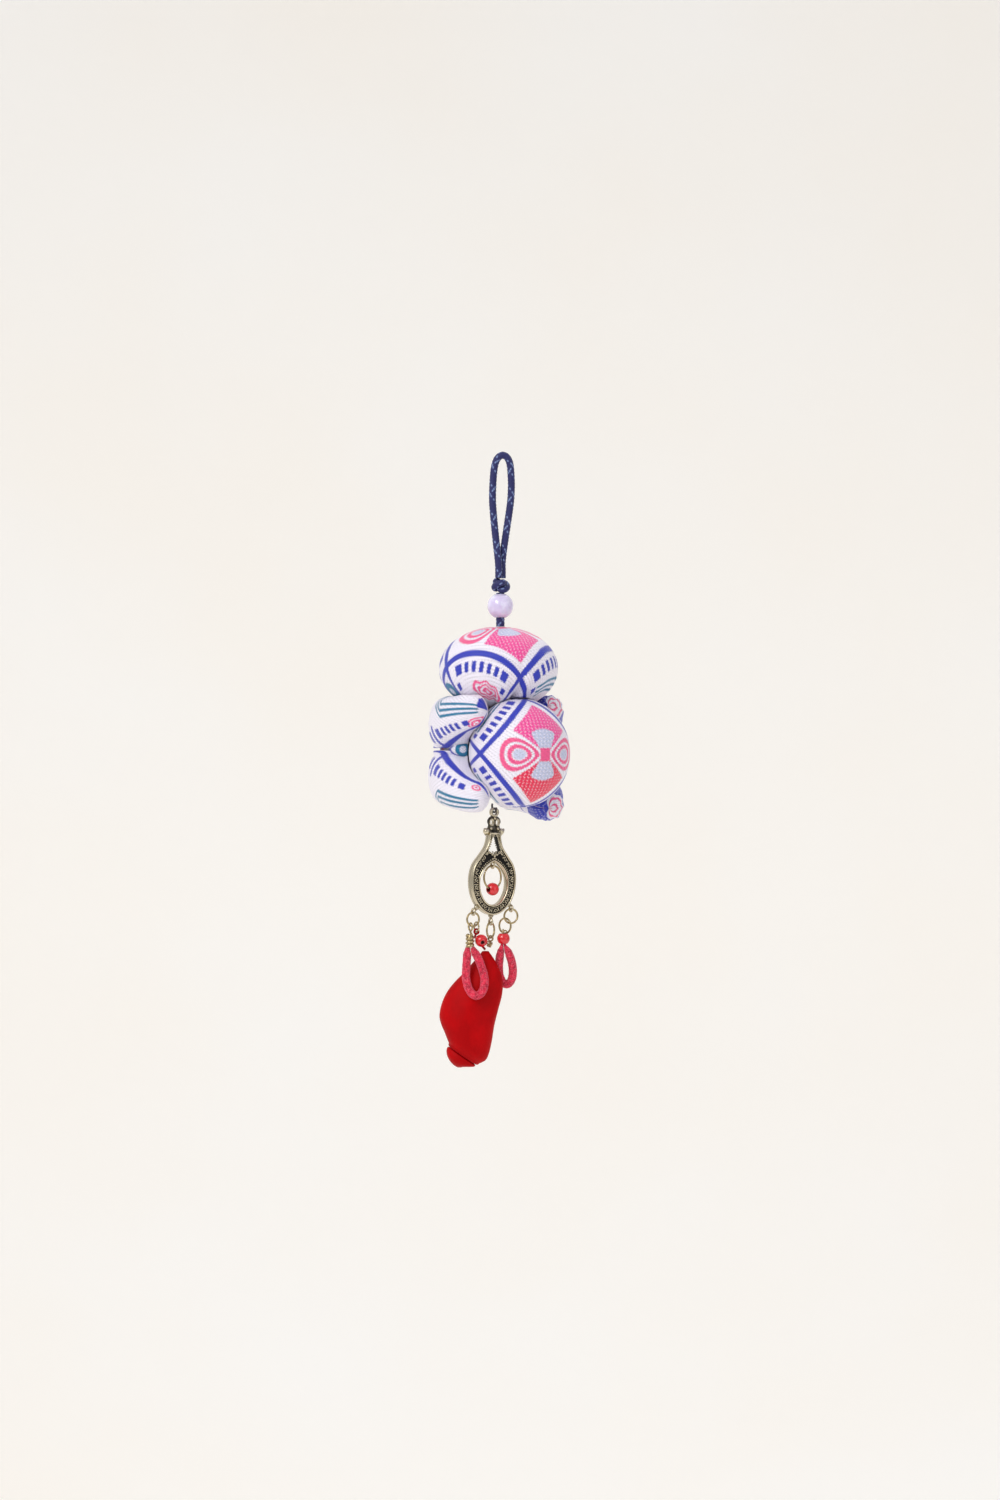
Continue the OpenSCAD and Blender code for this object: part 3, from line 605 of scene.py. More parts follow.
def build_weave():
    """Twill of fine threads: height of the threads, and a tint that is painted shade, darker where the
    threads sink, in the specks and in the loose puckers.
    """
    tree, given, result = shader_group(
        "Woven threads", [("Chart", "NodeSocketVector", None), ("Pitch", "NodeSocketFloat", 0.42)],
        [("Height", "NodeSocketFloat", None), ("Tint", "NodeSocketFloat", None)])
    u, v, _ = split(tree, given.outputs["Chart"])
    pitch = Field(tree, given.outputs["Pitch"])
    warp, weft = u / pitch, v / pitch
    over = (warp.math("FLOOR") + weft.math("FLOOR")).math("FLOORED_MODULO", 3.0).below(1.5, 0.1)
    warp_round = (warp * math.pi).math("SINE").math("ABSOLUTE")
    weft_round = (weft * math.pi).math("SINE").math("ABSOLUTE")
    height = warp_round * over * 0.7 + weft_round * ~over
    loose = noise(tree, given.outputs["Chart"], 1.7, 2.0)
    fleck = (u * 0.8 + v).nearest(1.5).below(0.26, 0.2) * (v - u * 0.4).nearest(1.1).above(0.18, 0.2)
    link_to(tree, height + loose * 0.5 - fleck * 0.4, result.inputs["Height"])
    # Tint is painted shade: darker where the threads sink, in the specks and in the loose puckers.
    link_to(tree, (height * 0.34 + 0.77) + (loose - 0.5) * 0.24 - fleck * 0.17, result.inputs["Tint"])
    return tree


COLOUR = "NodeSocketColor"
BROCADE_INPUTS = [("Chart", "NodeSocketVector", None)] + [
    (name, COLOUR, None) for name in ("Ground", "Frame", "Petal", "Coral", "Eye", "Tab", "Stripe")]
BROCADE_OUTPUTS = [("Color", COLOUR, None), ("Floats", "NodeSocketFloat", None)]


def toothed(tree, vector):
    """The chart with its edges combed by the threads."""
    u, v, _ = split(tree, vector)
    slip = (noise(tree, vector, 1.3, 2.0) - 0.5) * 0.5
    return u + v.wave(0.62) * 0.24 + slip, v + u.wave(0.66) * 0.24 - slip


def any_of(first, *others):
    for other in others:
        first = first.most(other)
    return first


def bands(value, centres, half):
    """Stripes of one width, wherever the value is near one of the centres."""
    return any_of(*(value.within(centre, half) for centre in centres))


def build_flower_brocade():
    """Two big petals and two eye petals in a diamond frame, with bars, fans and stripes outside it."""
    tree, given, result = shader_group("Flower brocade", BROCADE_INPUTS, BROCADE_OUTPUTS)
    u, v = toothed(tree, given.outputs["Chart"])
    half_root = math.sqrt(0.5)
    p, q = (u + v) * half_root, (u - v) * half_root
    out_p, out_q = abs(p) - 15.8, abs(q) - 15.8
    out = out_p.most(out_q)
    line = abs(out_p).least(abs(out_q)).below(0.97)
    inside = out.below(0)
    au, av = abs(u), abs(v)
    eye = (((au - 8.4) / 6.3).squared() + (v / (au.math("POWER", 0.6) * 1.45)).squared()).math("SQRT")
    eye_rings = any_of(eye.within(0.88, 0.12, 0.03), eye.within(0.5, 0.11, 0.03))
    lens = eye.below(0.33, 0.04)
    knot = au.most(av).below(1.75)
    top = ((au / 4.9).squared() + ((av - 5.3).most(0.0) / 2.9).squared()).below(1.0, 0.08)
    tab = (au - av * 0.52).below(1.0) * top * av.above(2.1)
    petal = (au + av).below(18.0) * (av - au * 0.8).above(0.2)
    petal = petal * eye.above(1.24, 0.04) * av.above(1.6) * ~tab
    dots = u.nearest(1.25).most(v.nearest(1.05)).below(0.22, 0.12)

    side = (out_p - out_q).above(0)
    t = abs(q * side + p * ~side)
    outside = out.above(0) * out_p.least(out_q).below(0)
    bars = out.within(3.9, 1.5) * t.nearest(3.0).below(0.8) * t.below(7.4)
    squares = any_of((abs(out - 3.9)).most(abs(t - 9.6)).below(1.5),
                     (abs(out - 8.4)).most(abs(t - 11.6)).below(1.2))
    fan_side = side * p.above(0)
    drift = (q + 4.0) * 0.13 + q.wave(5.2) * 0.45
    fan = (((q + 4.0) / 8.2).squared() + ((out - 11.2 + drift) / 3.1).squared()).math("SQRT")
    fan_lines = any_of(fan.within(0.94, 0.1, 0.05), fan.within(0.6, 0.09, 0.05),
                       fan.within(0.24, 0.11, 0.05))
    stripes = bands(out, (8.2, 9.9, 11.6), 0.42) * t.below(9.5) * ~fan_side
    deep, wide = (out_p + out_q) * half_root - 7.4, (out_p - out_q) * (half_root * 0.5)
    corner = (deep.squared() + wide.squared()).math("SQRT")
    star = corner.above(1.15) + (deep.wave(0.9) * wide.wave(0.9)).above(0.2)
    corner_cell = out_p.above(0) * out_q.above(0)
    blob = corner.below(2.9) * star.least(1.0) * corner_cell * u.above(6.0)

    colour = paint(tree, given.outputs["Ground"], given.outputs["Tab"],
                   any_of(tab * inside, lens * inside * 0.85))
    colour = paint(tree, colour, given.outputs["Ground"], tab * inside * dots)
    coral = v.math("MULTIPLY_ADD", -0.11, 0.42, clamp=True)
    petal_colour = paint(tree, given.outputs["Petal"], given.outputs["Coral"], coral)
    petal_colour = paint(tree, petal_colour, given.outputs["Ground"], dots * 0.66)
    colour = paint(tree, colour, petal_colour, petal * inside)
    colour = paint(tree, colour, given.outputs["Eye"], any_of(eye_rings, knot) * inside)
    colour = paint(tree, colour, given.outputs["Eye"], fan_lines * fan_side * outside)
    colour = paint(tree, colour, given.outputs["Stripe"], any_of(stripes * outside, blob))
    colour = paint(tree, colour, given.outputs["Frame"], any_of(line, (bars + squares) * outside))
    link_to(tree, colour, result.inputs["Color"])
    raised = any_of(line, bars * outside, squares * outside, petal * inside,
                    any_of(eye_rings, knot) * inside)
    link_to(tree, raised, result.inputs["Floats"])
    return tree


def build_limb_brocade():
    """Frame line, bars and stripes along a limb: the chart runs along it and away from its frame line."""
    tree, given, result = shader_group(
        "Limb brocade", BROCADE_INPUTS + [
            ("Bars from", "NodeSocketFloat", 6.0), ("Tip from", "NodeSocketFloat", 26.0),
            ("Stripes out", "NodeSocketFloat", 0.0), ("Patch", "NodeSocketFloat", 1.0)],
        BROCADE_OUTPUTS)
    u, v = toothed(tree, given.outputs["Chart"])
    start, tip = Field(tree, given.outputs["Bars from"]), Field(tree, given.outputs["Tip from"])
    # The pattern is mirrored behind a frame line that crosses the limb.
    along = abs(u - start + LIMB_CROSSING) - LIMB_CROSSING
    line = any_of(abs(v).below(0.95), (along + LIMB_CROSSING).below(0.8) * v.within(3.4, 3.8))
    bars = v.within(4.3, 1.4) * (along - 3.2).nearest(2.45).below(0.68)
    bars = bars * along.above(1.9) * along.below(11.8)
    square = any_of((abs(along) - 0.15).most(abs(v - 4.3) - 0.45).below(1.1),
                    abs(along - 13.9).most(abs(v - 4.6)).below(1.15))
    corner = ((along - 4.5) * 1.1).least(0.0)
    level = v + corner - Field(tree, given.outputs["Stripes out"])
    past_tip, patched = u - tip, Field(tree, given.outputs["Patch"])
    stripes = bands(level, (9.1, 11.1, 13.2), 0.5) * past_tip.below(0.0)
    patch = past_tip.above(-0.4) * v.within(17.5, 5.5) * past_tip.below(4.0) * patched
    swirl = ((past_tip + 1.6).squared() + (v - 3.0).squared()).math("SQRT")
    pink = swirl.nearest(1.5).below(0.48) * (swirl - patched * 1.5).below(1.7)
    colour = paint(tree, given.outputs["Ground"], given.outputs["Stripe"], stripes)
    colour = paint(tree, colour, given.outputs["Eye"], pink)
    colour = paint(tree, colour, given.outputs["Frame"], any_of(line, bars, square, patch))
    link_to(tree, colour, result.inputs["Color"])
    link_to(tree, any_of(line, bars, square, stripes), result.inputs["Floats"])
    return tree


def build_tip_brocade():
    """The far limbs' ends: blue with pale dots, then nested pink outlines."""
    tree, given, result = shader_group("Tip brocade", BROCADE_INPUTS, BROCADE_OUTPUTS)
    u, v = toothed(tree, given.outputs["Chart"])
    rounded = (u.squared() + (v * 0.45).squared()).math("SQRT")
    lines = (rounded - 0.3).nearest(2.4).below(0.42) * rounded.below(6.3)
    blue = rounded.above(6.7) * rounded.below(15.0)
    dots = u.nearest(1.7).squared() + v.nearest(1.7).squared()
    back, height = u - 18.0, abs(v)
    frame = any_of(back.within(0.6, 0.8), height.below(0.9) * back.above(0.0))
    bars = height.within(4.4, 1.4) * (back - 3.2).nearest(2.45).below(0.68)
    bars = bars * back.above(2.4) * back.below(15.0)
    stripes = bands(height, (9.1, 11.1, 13.2), 0.4) * back.above(2.6)
    colour = paint(tree, given.outputs["Ground"], given.outputs["Eye"], lines)
    colour = paint(tree, colour, given.outputs["Stripe"], stripes)
    colour = paint(tree, colour, given.outputs["Frame"],
                   any_of(blue * ~(dots.below(0.05, 0.03)), frame, bars))
    link_to(tree, colour, result.inputs["Color"])
    link_to(tree, any_of(lines, blue, frame, bars, stripes), result.inputs["Floats"])
    return tree


def build_tarnish():
    """Uneven patina: a value that goes from 0 where rubbed bright to 1 where dull."""
    tree, given, result = shader_group(
        "Patina", [("Place", "NodeSocketVector", None), ("Coarse", "NodeSocketFloat", 0.6)],
        [("Dull", "NodeSocketFloat", None), ("Grain", "NodeSocketFloat", None)])
    cloud = noise(tree, given.outputs["Place"], 0.55, 4.0, 0.6)
    fine = noise(tree, given.outputs["Place"], 5.0, 3.0, 0.7)
    coarse = Field(tree, given.outputs["Coarse"])
    link_to(tree, ((cloud - 0.42) * 3.2 * coarse + (fine - 0.5) * 0.7).math("ADD", 0.25, clamp=True),
            result.inputs["Dull"])
    link_to(tree, fine, result.inputs["Grain"])
    return tree


def make_brocade(name, group, **extra):
    """Satin brocade: the pattern's group on the piece's chart, with threads and raised floats."""
    tint = colours()
    material, tree, shader = new_material(name, Roughness=0.5, Sheen_Weight=0.22, Sheen_Roughness=0.35,
                                          Specular_IOR_Level=0.42)
    place = chart(tree)
    pattern = group_node(
        tree, group, Chart=place, Ground=tint.ground, Frame=tint.frame_blue, Petal=tint.petal,
        Coral=tint.petal_low, Eye=tint.eye, Tab=tint.tab, Stripe=tint.stripe, **extra)
    weave = group_node(tree, SHARED["weave"], Chart=place, Pitch=sizes().thread_pitch / MM)
    # The pattern's colour is scaled by the weave's Tint, which is painted shade of the threads and puckers.
    shade = tree.nodes.new("ShaderNodeVectorMath")
    shade.operation = "SCALE"
    tree.links.new(pattern.outputs["Color"], shade.inputs[0])
    tree.links.new(weave.outputs["Tint"], shade.inputs["Scale"])
    tree.links.new(shade.outputs[0], shader.inputs["Base Color"])
    floats = Field(tree, pattern.outputs["Floats"])
    height = Field(tree, weave.outputs["Height"])
    link_to(tree, floats * -0.08 + height * -0.1 + 0.56, shader.inputs["Roughness"])
    bump(tree, shader, floats, 0.00012, 0.8)
    bump(tree, shader, height, 0.00009, 0.75)
    return material


SHARED = {}


def shared_material(key):
    """Each finish is made once, when the first piece asks for it."""
    if key not in SHARED:
        SHARED[key] = MAKERS[key]()
    return SHARED[key]


def make_cord_material():
    tint = colours()
    material, tree, shader = new_material("Braided cord", Roughness=0.6, Sheen_Weight=0.25,
                                          Sheen_Roughness=0.4)
    pale = attribute(tree, "pale")
    valley = attribute(tree, "valley")
    place = chart(tree)
    u, v, _ = split(tree, place)
    fibres = noise(tree, place, 9.0, 2.0)
    twist = ((u * 5.0 + v * 7.0) * 2.2).math("SINE") * 0.5 + 0.5
    colour = paint(tree, tint.cord, tint.cord_fleck, pale * (fibres * 0.7 + 0.4))
    # Painted shade: near black laid into the valleys between the strands.
    colour = paint(tree, colour, (0.002, 0.002, 0.008, 1), valley * 0.85)
    link_to(tree, colour, shader.inputs["Base Color"])
    link_to(tree, fibres * 0.3 + 0.42, shader.inputs["Roughness"])
    bump(tree, shader, twist * 0.5 + fibres, 0.00006, 0.8)
    return material


def make_stone_material():
    tint = colours()
    material, tree, shader = new_material(
        "Lavender stone", Roughness=0.16, Subsurface_Weight=0.35, Subsurface_Scale=0.0016, Coat_Weight=0.5,
        Coat_Roughness=0.06, IOR=1.52)
    shader.inputs["Subsurface Radius"].default_value = (1.0, 0.8, 1.0)
    place = object_millimetres(tree)
    cloud = noise(tree, place, 0.16, 3.0, 0.5)
    vein = noise(tree, place, 0.5, 5.0, 0.6)
    colour = paint(tree, tint.stone, srgb(213, 202, 234), cloud.above(0.5, 0.25))
    colour = paint(tree, colour, srgb(236, 238, 255), vein.above(0.6, 0.2) * 0.6)
    link_to(tree, colour, shader.inputs["Base Color"])
    link_to(tree, vein * 0.12 + 0.1, shader.inputs["Roughness"])
    bump(tree, shader, vein, 0.00002, 0.3)
    return material


def make_thread_material():
    material, tree, shader = new_material("Waxed thread", Roughness=0.6, Sheen_Weight=0.2)
    place = object_millimetres(tree)
    x, _, z = split(tree, place)
    strands = ((x + z * 1.3) * 22.0).math("SINE") * 0.5 + 0.5
    colour = paint(tree, srgb(38, 30, 34), srgb(92, 78, 82), strands * noise(tree, place, 4.0))
    link_to(tree, colour, shader.inputs["Base Color"])
    link_to(tree, strands * -0.2 + 0.7, shader.inputs["Roughness"])
    bump(tree, shader, strands, 0.00004)
    return material


def make_metal_material():
    tint = colours()
    material, tree, shader = new_material("Antique metal", Metallic=1.0, Roughness=0.3)
    patina = group_node(tree, SHARED["patina"], Place=object_millimetres(tree), Coarse=0.45)
    dull, grain = Field(tree, patina.outputs["Dull"]), Field(tree, patina.outputs["Grain"])
    recess = attribute(tree, "recess")
    dark = (recess * 1.2 + (dull - 0.6) * 0.5).math("MULTIPLY", 1.0, clamp=True)
    colour = paint(tree, tint.metal, srgb(150, 132, 104), dull * 0.4)
    colour = paint(tree, colour, tint.metal_dark, dark)
    link_to(tree, colour, shader.inputs["Base Color"])
    link_to(tree, (dark * 0.38 + 0.17) + grain * 0.12, shader.inputs["Roughness"])
    link_to(tree, dark * -0.45 + 1.0, shader.inputs["Metallic"])
    bump(tree, shader, grain, 0.00003, 0.6)
    return material


def make_brass_material():
    tint = colours()
    material, tree, shader = new_material("Brass wire", Metallic=1.0, Roughness=0.22)
    patina = group_node(tree, SHARED["patina"], Place=object_millimetres(tree), Coarse=0.6)
    dull, grain = Field(tree, patina.outputs["Dull"]), Field(tree, patina.outputs["Grain"])
    colour = paint(tree, tint.brass, srgb(112, 88, 52), dull * 0.7)
    link_to(tree, colour, shader.inputs["Base Color"])
    link_to(tree, (dull * 0.22 + 0.14) + grain * 0.08, shader.inputs["Roughness"])
    bump(tree, shader, grain, 0.00001, 0.4)
    return material


def make_lacquer_material():
    tint = colours()
    material, tree, shader = new_material("Red lacquer", Roughness=0.22, Coat_Weight=0.6,
                                          Coat_Roughness=0.08)
    place = object_millimetres(tree)
    # Painted shade: the bore and its lips, marked by rim, are painted dark brown-red and made rougher.
    bore_shade = attribute(tree, "rim")
    cloud = noise(tree, place, 0.9, 3.0)
    colour = paint(tree, tint.lacquer, srgb(176, 10, 22), cloud.above(0.5, 0.3) * 0.6)
    colour = paint(tree, colour, srgb(96, 20, 16), bore_shade * (cloud * 0.6 + 0.5))
    link_to(tree, colour, shader.inputs["Base Color"])
    link_to(tree, bore_shade * 0.4 + cloud * 0.14 + 0.14, shader.inputs["Roughness"])
    bump(tree, shader, noise(tree, place, 1.4, 2.0), 0.00005, 0.35)
    return material


def make_suede_material():
    tint = colours()
    material, tree, shader = new_material("Suede", Roughness=0.95, Sheen_Weight=0.55, Sheen_Roughness=0.55,
                                          Specular_IOR_Level=0.15)
    shader.inputs["Sheen Tint"].default_value = srgb(255, 170, 190)
    place = object_millimetres(tree)
    clump = noise(tree, place, 0.9, 4.0, 0.7)
    fine = noise(tree, place, 2.6, 3.0, 0.7)
    colour = paint(tree, tint.suede, srgb(150, 6, 32), clump.above(0.52, 0.16) * 0.75)
    colour = paint(tree, colour, srgb(255, 128, 146), fine.above(0.56, 0.12) * 0.6)
    link_to(tree, colour, shader.inputs["Base Color"])
    link_to(tree, fine * 0.15 + 0.82, shader.inputs["Roughness"])
    bump(tree, shader, clump * 0.6 + fine, 0.00045, 0.9)
    return material


def make_flower_material():
    tint = colours()
    material, tree, shader = new_material(
        "Frosted red", Roughness=0.65, Subsurface_Weight=0.08, Subsurface_Scale=0.0012,
        Specular_IOR_Level=0.08)
    shader.inputs["Subsurface Radius"].default_value = (1.0, 0.1, 0.08)
    place = object_millimetres(tree)
    cloud = noise(tree, place, 0.12, 3.0, 0.5)
    fine = noise(tree, place, 7.0, 2.0, 0.6)
    edge = attribute(tree, "edge")
    colour = paint(tree, tint.flower, srgb(152, 0, 4), cloud.above(0.5, 0.2) * 0.6)
    # Painted shade: the edge mark darkens the wrap's lip where it overlaps the bud, most on its left; on
    # the stem it darkens the whole piece.
    colour = paint(tree, colour, srgb(118, 0, 6), edge * 0.5)
    link_to(tree, colour, shader.inputs["Base Color"])
    link_to(tree, fine * 0.2 + 0.44, shader.inputs["Roughness"])
    bump(tree, shader, fine, 0.00003, 0.5)
    return material


def make_page_material():
    tint = colours()
    material, tree, shader = new_material("Pale floor", Roughness=0.9, Specular_IOR_Level=0.1,
                                          Emission_Strength=0.135)
    place = object_millimetres(tree)
    cloud = noise(tree, place, 0.004, 2.0)
    colour = paint(tree, tint.page, srgb(246, 240, 231), cloud)
    link_to(tree, colour, shader.inputs["Base Color"])
    bump(tree, shader, noise(tree, place, 0.5, 2.0), 0.0001, 0.1)
    return material


MAKERS = {
    "weave": build_weave,
    "patina": build_tarnish,
    "flower_brocade": build_flower_brocade,
    "limb_brocade": build_limb_brocade,
    "tip_brocade": build_tip_brocade,
    "cord": make_cord_material,
    "stone": make_stone_material,
    "thread": make_thread_material,
    "metal": make_metal_material,
    "brass": make_brass_material,
    "lacquer": make_lacquer_material,
    "suede": make_suede_material,
    "flower": make_flower_material,
    "page": make_page_material,
    "brocade": lambda: make_brocade("Brocade", shared_material("flower_brocade")),
    "tips": lambda: make_brocade("Brocade tips", shared_material("tip_brocade")),
}


# Geometry Nodes

def geometry_group(name, inputs):
    tree = bpy.data.node_groups.new(name, "GeometryNodeTree")
    add_sockets(tree, [("Geometry", "NodeSocketGeometry", None)] + inputs,
                [("Geometry", "NodeSocketGeometry", None)])
    return tree, tree.nodes.new("NodeGroupInput"), tree.nodes.new("NodeGroupOutput")


def new_nodes(tree, *kinds):
    return [tree.nodes.new(kind) for kind in kinds]


def wire_up(tree, *pairs):
    for source, target in pairs:
        tree.links.new(source, target)


def build_along_route():
    """A small piece repeated along a route, turned to follow it."""
    tree, given, result = geometry_group("Pieces along a route", [
        ("Piece", "NodeSocketObject", None), ("Count", "NodeSocketInt", 10),
        ("Size", "NodeSocketFloat", 1.0), ("Size change", "NodeSocketFloat", 0.1),
        ("Seed", "NodeSocketInt", 1), ("Finish", "NodeSocketMaterial", None)])
    curve, even, place, piece, tangent, turn, vary, total, low, real, cover = new_nodes(
        tree, "GeometryNodeMeshToCurve", "GeometryNodeResampleCurve", "GeometryNodeInstanceOnPoints",
        "GeometryNodeObjectInfo", "GeometryNodeInputTangent", "FunctionNodeAlignRotationToVector",
        "FunctionNodeRandomValue", "ShaderNodeMath", "ShaderNodeMath", "GeometryNodeRealizeInstances",
        "GeometryNodeSetMaterial")
    turn.axis, turn.pivot_axis = "X", "Z"
    low.operation, total.operation = "SUBTRACT", "ADD"
    wire_up(
        tree, (given.outputs["Geometry"], curve.inputs[0]), (curve.outputs[0], even.inputs["Curve"]),
        (given.outputs["Count"], even.inputs["Count"]), (even.outputs[0], place.inputs["Points"]),
        (given.outputs["Piece"], piece.inputs["Object"]),
        (piece.outputs["Geometry"], place.inputs["Instance"]),
        (tangent.outputs[0], turn.inputs["Vector"]), (turn.outputs[0], place.inputs["Rotation"]),
        (given.outputs["Size"], low.inputs[0]), (given.outputs["Size change"], low.inputs[1]),
        (given.outputs["Size"], total.inputs[0]), (given.outputs["Size change"], total.inputs[1]),
        (low.outputs[0], vary.inputs[2]), (total.outputs[0], vary.inputs[3]),
        (given.outputs["Seed"], vary.inputs["Seed"]), (vary.outputs[1], place.inputs["Scale"]),
        (place.outputs[0], real.inputs[0]), (real.outputs[0], cover.inputs[0]),
        (given.outputs["Finish"], cover.inputs["Material"]), (cover.outputs[0], result.inputs[0]))
    return tree


def build_nap():
    """Short fibres standing on a surface, kept with the surface itself."""
    tree, given, result = geometry_group("Suede nap", [
        ("Fibres", "NodeSocketFloat", 6.0), ("Length", "NodeSocketFloat", 0.0002),
        ("Thickness", "NodeSocketFloat", 0.00002), ("Lean", "NodeSocketFloat", 0.8),
        ("Seed", "NodeSocketInt", 3), ("Finish", "NodeSocketMaterial", None)])
    scatter, fibre, place, lean, turn, vary, minus, join, real, cover, as_turn = new_nodes(
        tree, "GeometryNodeDistributePointsOnFaces", "GeometryNodeMeshCone", "GeometryNodeInstanceOnPoints",
        "FunctionNodeRandomValue", "FunctionNodeRotateRotation", "FunctionNodeRandomValue",
        "ShaderNodeMath", "GeometryNodeJoinGeometry", "GeometryNodeRealizeInstances",
        "GeometryNodeSetMaterial", "FunctionNodeEulerToRotation")
    minus.operation = "MULTIPLY"
    minus.inputs[1].default_value = -1.0
    lean.data_type = "FLOAT_VECTOR"
    turn.rotation_space = "LOCAL"
    fibre.inputs["Vertices"].default_value = 3
    fibre.inputs["Radius Top"].default_value = 0.0
    vary.inputs[2].default_value = 0.5
    vary.inputs[3].default_value = 1.2
    wire_up(
        tree, (given.outputs["Geometry"], scatter.inputs["Mesh"]),
        (given.outputs["Fibres"], scatter.inputs["Density"]),
        (given.outputs["Seed"], scatter.inputs["Seed"]),
        (scatter.outputs["Points"], place.inputs["Points"]),
        (given.outputs["Length"], fibre.inputs["Depth"]),
        (given.outputs["Thickness"], fibre.inputs["Radius Bottom"]),
        (fibre.outputs["Mesh"], place.inputs["Instance"]), (given.outputs["Lean"], minus.inputs[0]),
        (minus.outputs[0], lean.inputs[0]), (given.outputs["Lean"], lean.inputs[1]),
        (given.outputs["Seed"], lean.inputs["Seed"]), (lean.outputs[0], as_turn.inputs[0]),
        (scatter.outputs["Rotation"], turn.inputs[0]), (as_turn.outputs[0], turn.inputs["Rotate By"]),
        (turn.outputs[0], place.inputs["Rotation"]), (vary.outputs[1], place.inputs["Scale"]),
        (place.outputs[0], join.inputs[0]), (given.outputs["Geometry"], join.inputs[0]),
        (join.outputs[0], real.inputs[0]), (real.outputs[0], cover.inputs[0]),
        (given.outputs["Finish"], cover.inputs["Material"]), (cover.outputs[0], result.inputs[0]))
    return tree


MAKERS["along_route"] = build_along_route
MAKERS["nap"] = build_nap


def run_nodes(obj, tree, values):
    """The mesh that a node tree makes of an object, its inputs set by their sockets' identifiers."""
    modifier = obj.modifiers.new("Made", "NODES")
    modifier.node_group = tree
    names = {item.name: item.identifier for item in tree.interface.items_tree if item.in_out == "INPUT"}
    for name, value in values.items():
        modifier[names[name]] = value
    bpy.context.view_layer.update()
    mesh = bpy.data.meshes.new_from_object(obj.evaluated_get(bpy.context.evaluated_depsgraph_get()))
    obj.modifiers.remove(modifier)
    return mesh


def mesh_arrays(mesh):
    points = np.zeros(len(mesh.vertices) * 3)
    mesh.vertices.foreach_get("co", points)
    return points.reshape(-1, 3), [tuple(p.vertices) for p in mesh.polygons]


def remove_object(obj):
    mesh = obj.data
    bpy.data.objects.remove(obj)
    bpy.data.meshes.remove(mesh)


# The braided cord

BRAID_STRANDS = 8


def braid(angle, far, pitch):
    """Height of a round braid from 0 to 1, whether the top strand is pale, and how deep the valley is,
    which is painted as shade between the strands.
    """
    a = BRAID_STRANDS * (angle / (2 * math.pi) + far / pitch)
    b = BRAID_STRANDS * (angle / (2 * math.pi) - far / pitch)
    ia, ib = np.floor(a).astype(int), np.floor(b).astype(int)
    over = np.where((ia + ib) % 2 == 0, 1.0, -1.0)
    ra, rb = np.abs(np.sin(math.pi * a)) ** 0.7, np.abs(np.sin(math.pi * b)) ** 0.7
    ha = ra * (0.62 + 0.38 * over * rb)
    hb = rb * (0.62 - 0.38 * over * ra)
    height = np.maximum(ha, hb)
    pale = np.where(ha >= hb, (ia % BRAID_STRANDS == 2) | (ia % BRAID_STRANDS == 5),
                    ib % BRAID_STRANDS == 3)
    return height, pale * smooth((height - 0.35) / 0.4), 1 - smooth(height / 0.6)


def braided_tube(path, radius, sides, pitch, relief, closed=False, across=(0, 1, 0)):
    """Points, faces and marks of a braided tube, all in the path's own unit."""
    angle = (np.arange(sides) * 2 * math.pi / sides)[None, :]
    far = arc_lengths(path)
    if closed:
        whole = far[-1] + np.linalg.norm(path[0] - path[-1])
        pitch = whole / max(1, round(whole / pitch))
    height, pale, valley = braid(angle, far[:, None], pitch)
    rings = sweep(path, radius, sides, across, closed, relief=lambda a, s: (height - 0.75) * relief)
    points, faces = grid(rings, closed)
    extra = len(points) - rings.shape[0] * rings.shape[1]
    chart_uv = np.stack([np.broadcast_to(angle / (2 * math.pi) * 7, height.shape),
                         np.broadcast_to(far[:, None], height.shape) / (MM if radius < 0.1 else 1)],
                        -1).reshape(-1, 2)
    # The valley mark is painted shade: deep between the strands, and full on the closed ends.
    fill = np.zeros(extra)
    marks = {"pale": np.concatenate([pale.ravel(), fill]),
             "valley": np.concatenate([valley.ravel(), fill + 1])}
    return points, faces, np.vstack([chart_uv, np.zeros((extra, 2))]), marks


def knot_path(count):
    """A cord tied round itself, as a closed three-lobed curve that fits the knot's outline."""
    t = np.linspace(0, 2 * math.pi, count, endpoint=False)
    turn, lobe = 1.28, 0.82
    x = (turn + lobe * np.cos(3 * t)) * np.cos(2 * t)
    y = (turn + lobe * np.cos(3 * t)) * np.sin(2 * t)
    z = 1.15 * np.sin(3 * t)
    tilt = math.radians(14)
    c, s = math.cos(tilt), math.sin(tilt)
    return np.stack([x * c + z * s, y, z * c - x * s], 1)


class CHARM_OT_cord(bpy.types.Operator):
    """Make the braided hanging loop, its knot and the doubled cord below"""
    bl_idname = "charm.cord"
    bl_label = "Braided cord"

    def execute(self, context):
        size = sizes()
        finish = shared_material("cord")
        path = spline(HANG_ROUTE, 420)
        points, faces, uv, marks = braided_tube(path, size.cord_d / 2, 40, size.braid_pitch,
                                                size.braid_relief)
        loop = new_object("hanging_loop", points, faces, finish, uv, marks)
        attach(loop, "root")
        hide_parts("hanging_cord")
        points, faces, uv, marks = braided_tube(
            (KNOT + knot_path(240)) * MM, MM, 36, size.braid_pitch * 0.9, size.braid_relief,
            closed=True)
        finish_piece(new_object("knot", points, faces, finish, uv, marks), "root", "braided_cord",
                     "cord_knot")
        top, low = KNOT[2] - 2.2, HEAD_TOP + 0.45
        path = np.linspace([-0.5, 0, top], [-0.5, 0, low], 90) * MM
        points, faces, uv, marks = braided_tube(path, size.stem_d / 2, 44, size.braid_pitch,
                                                size.braid_relief * 1.2)
        finish_piece(new_object("doubled_cord", points, faces, finish, uv, marks), "root", "braided_cord",
                     "cord_stem")
        return {"FINISHED"}


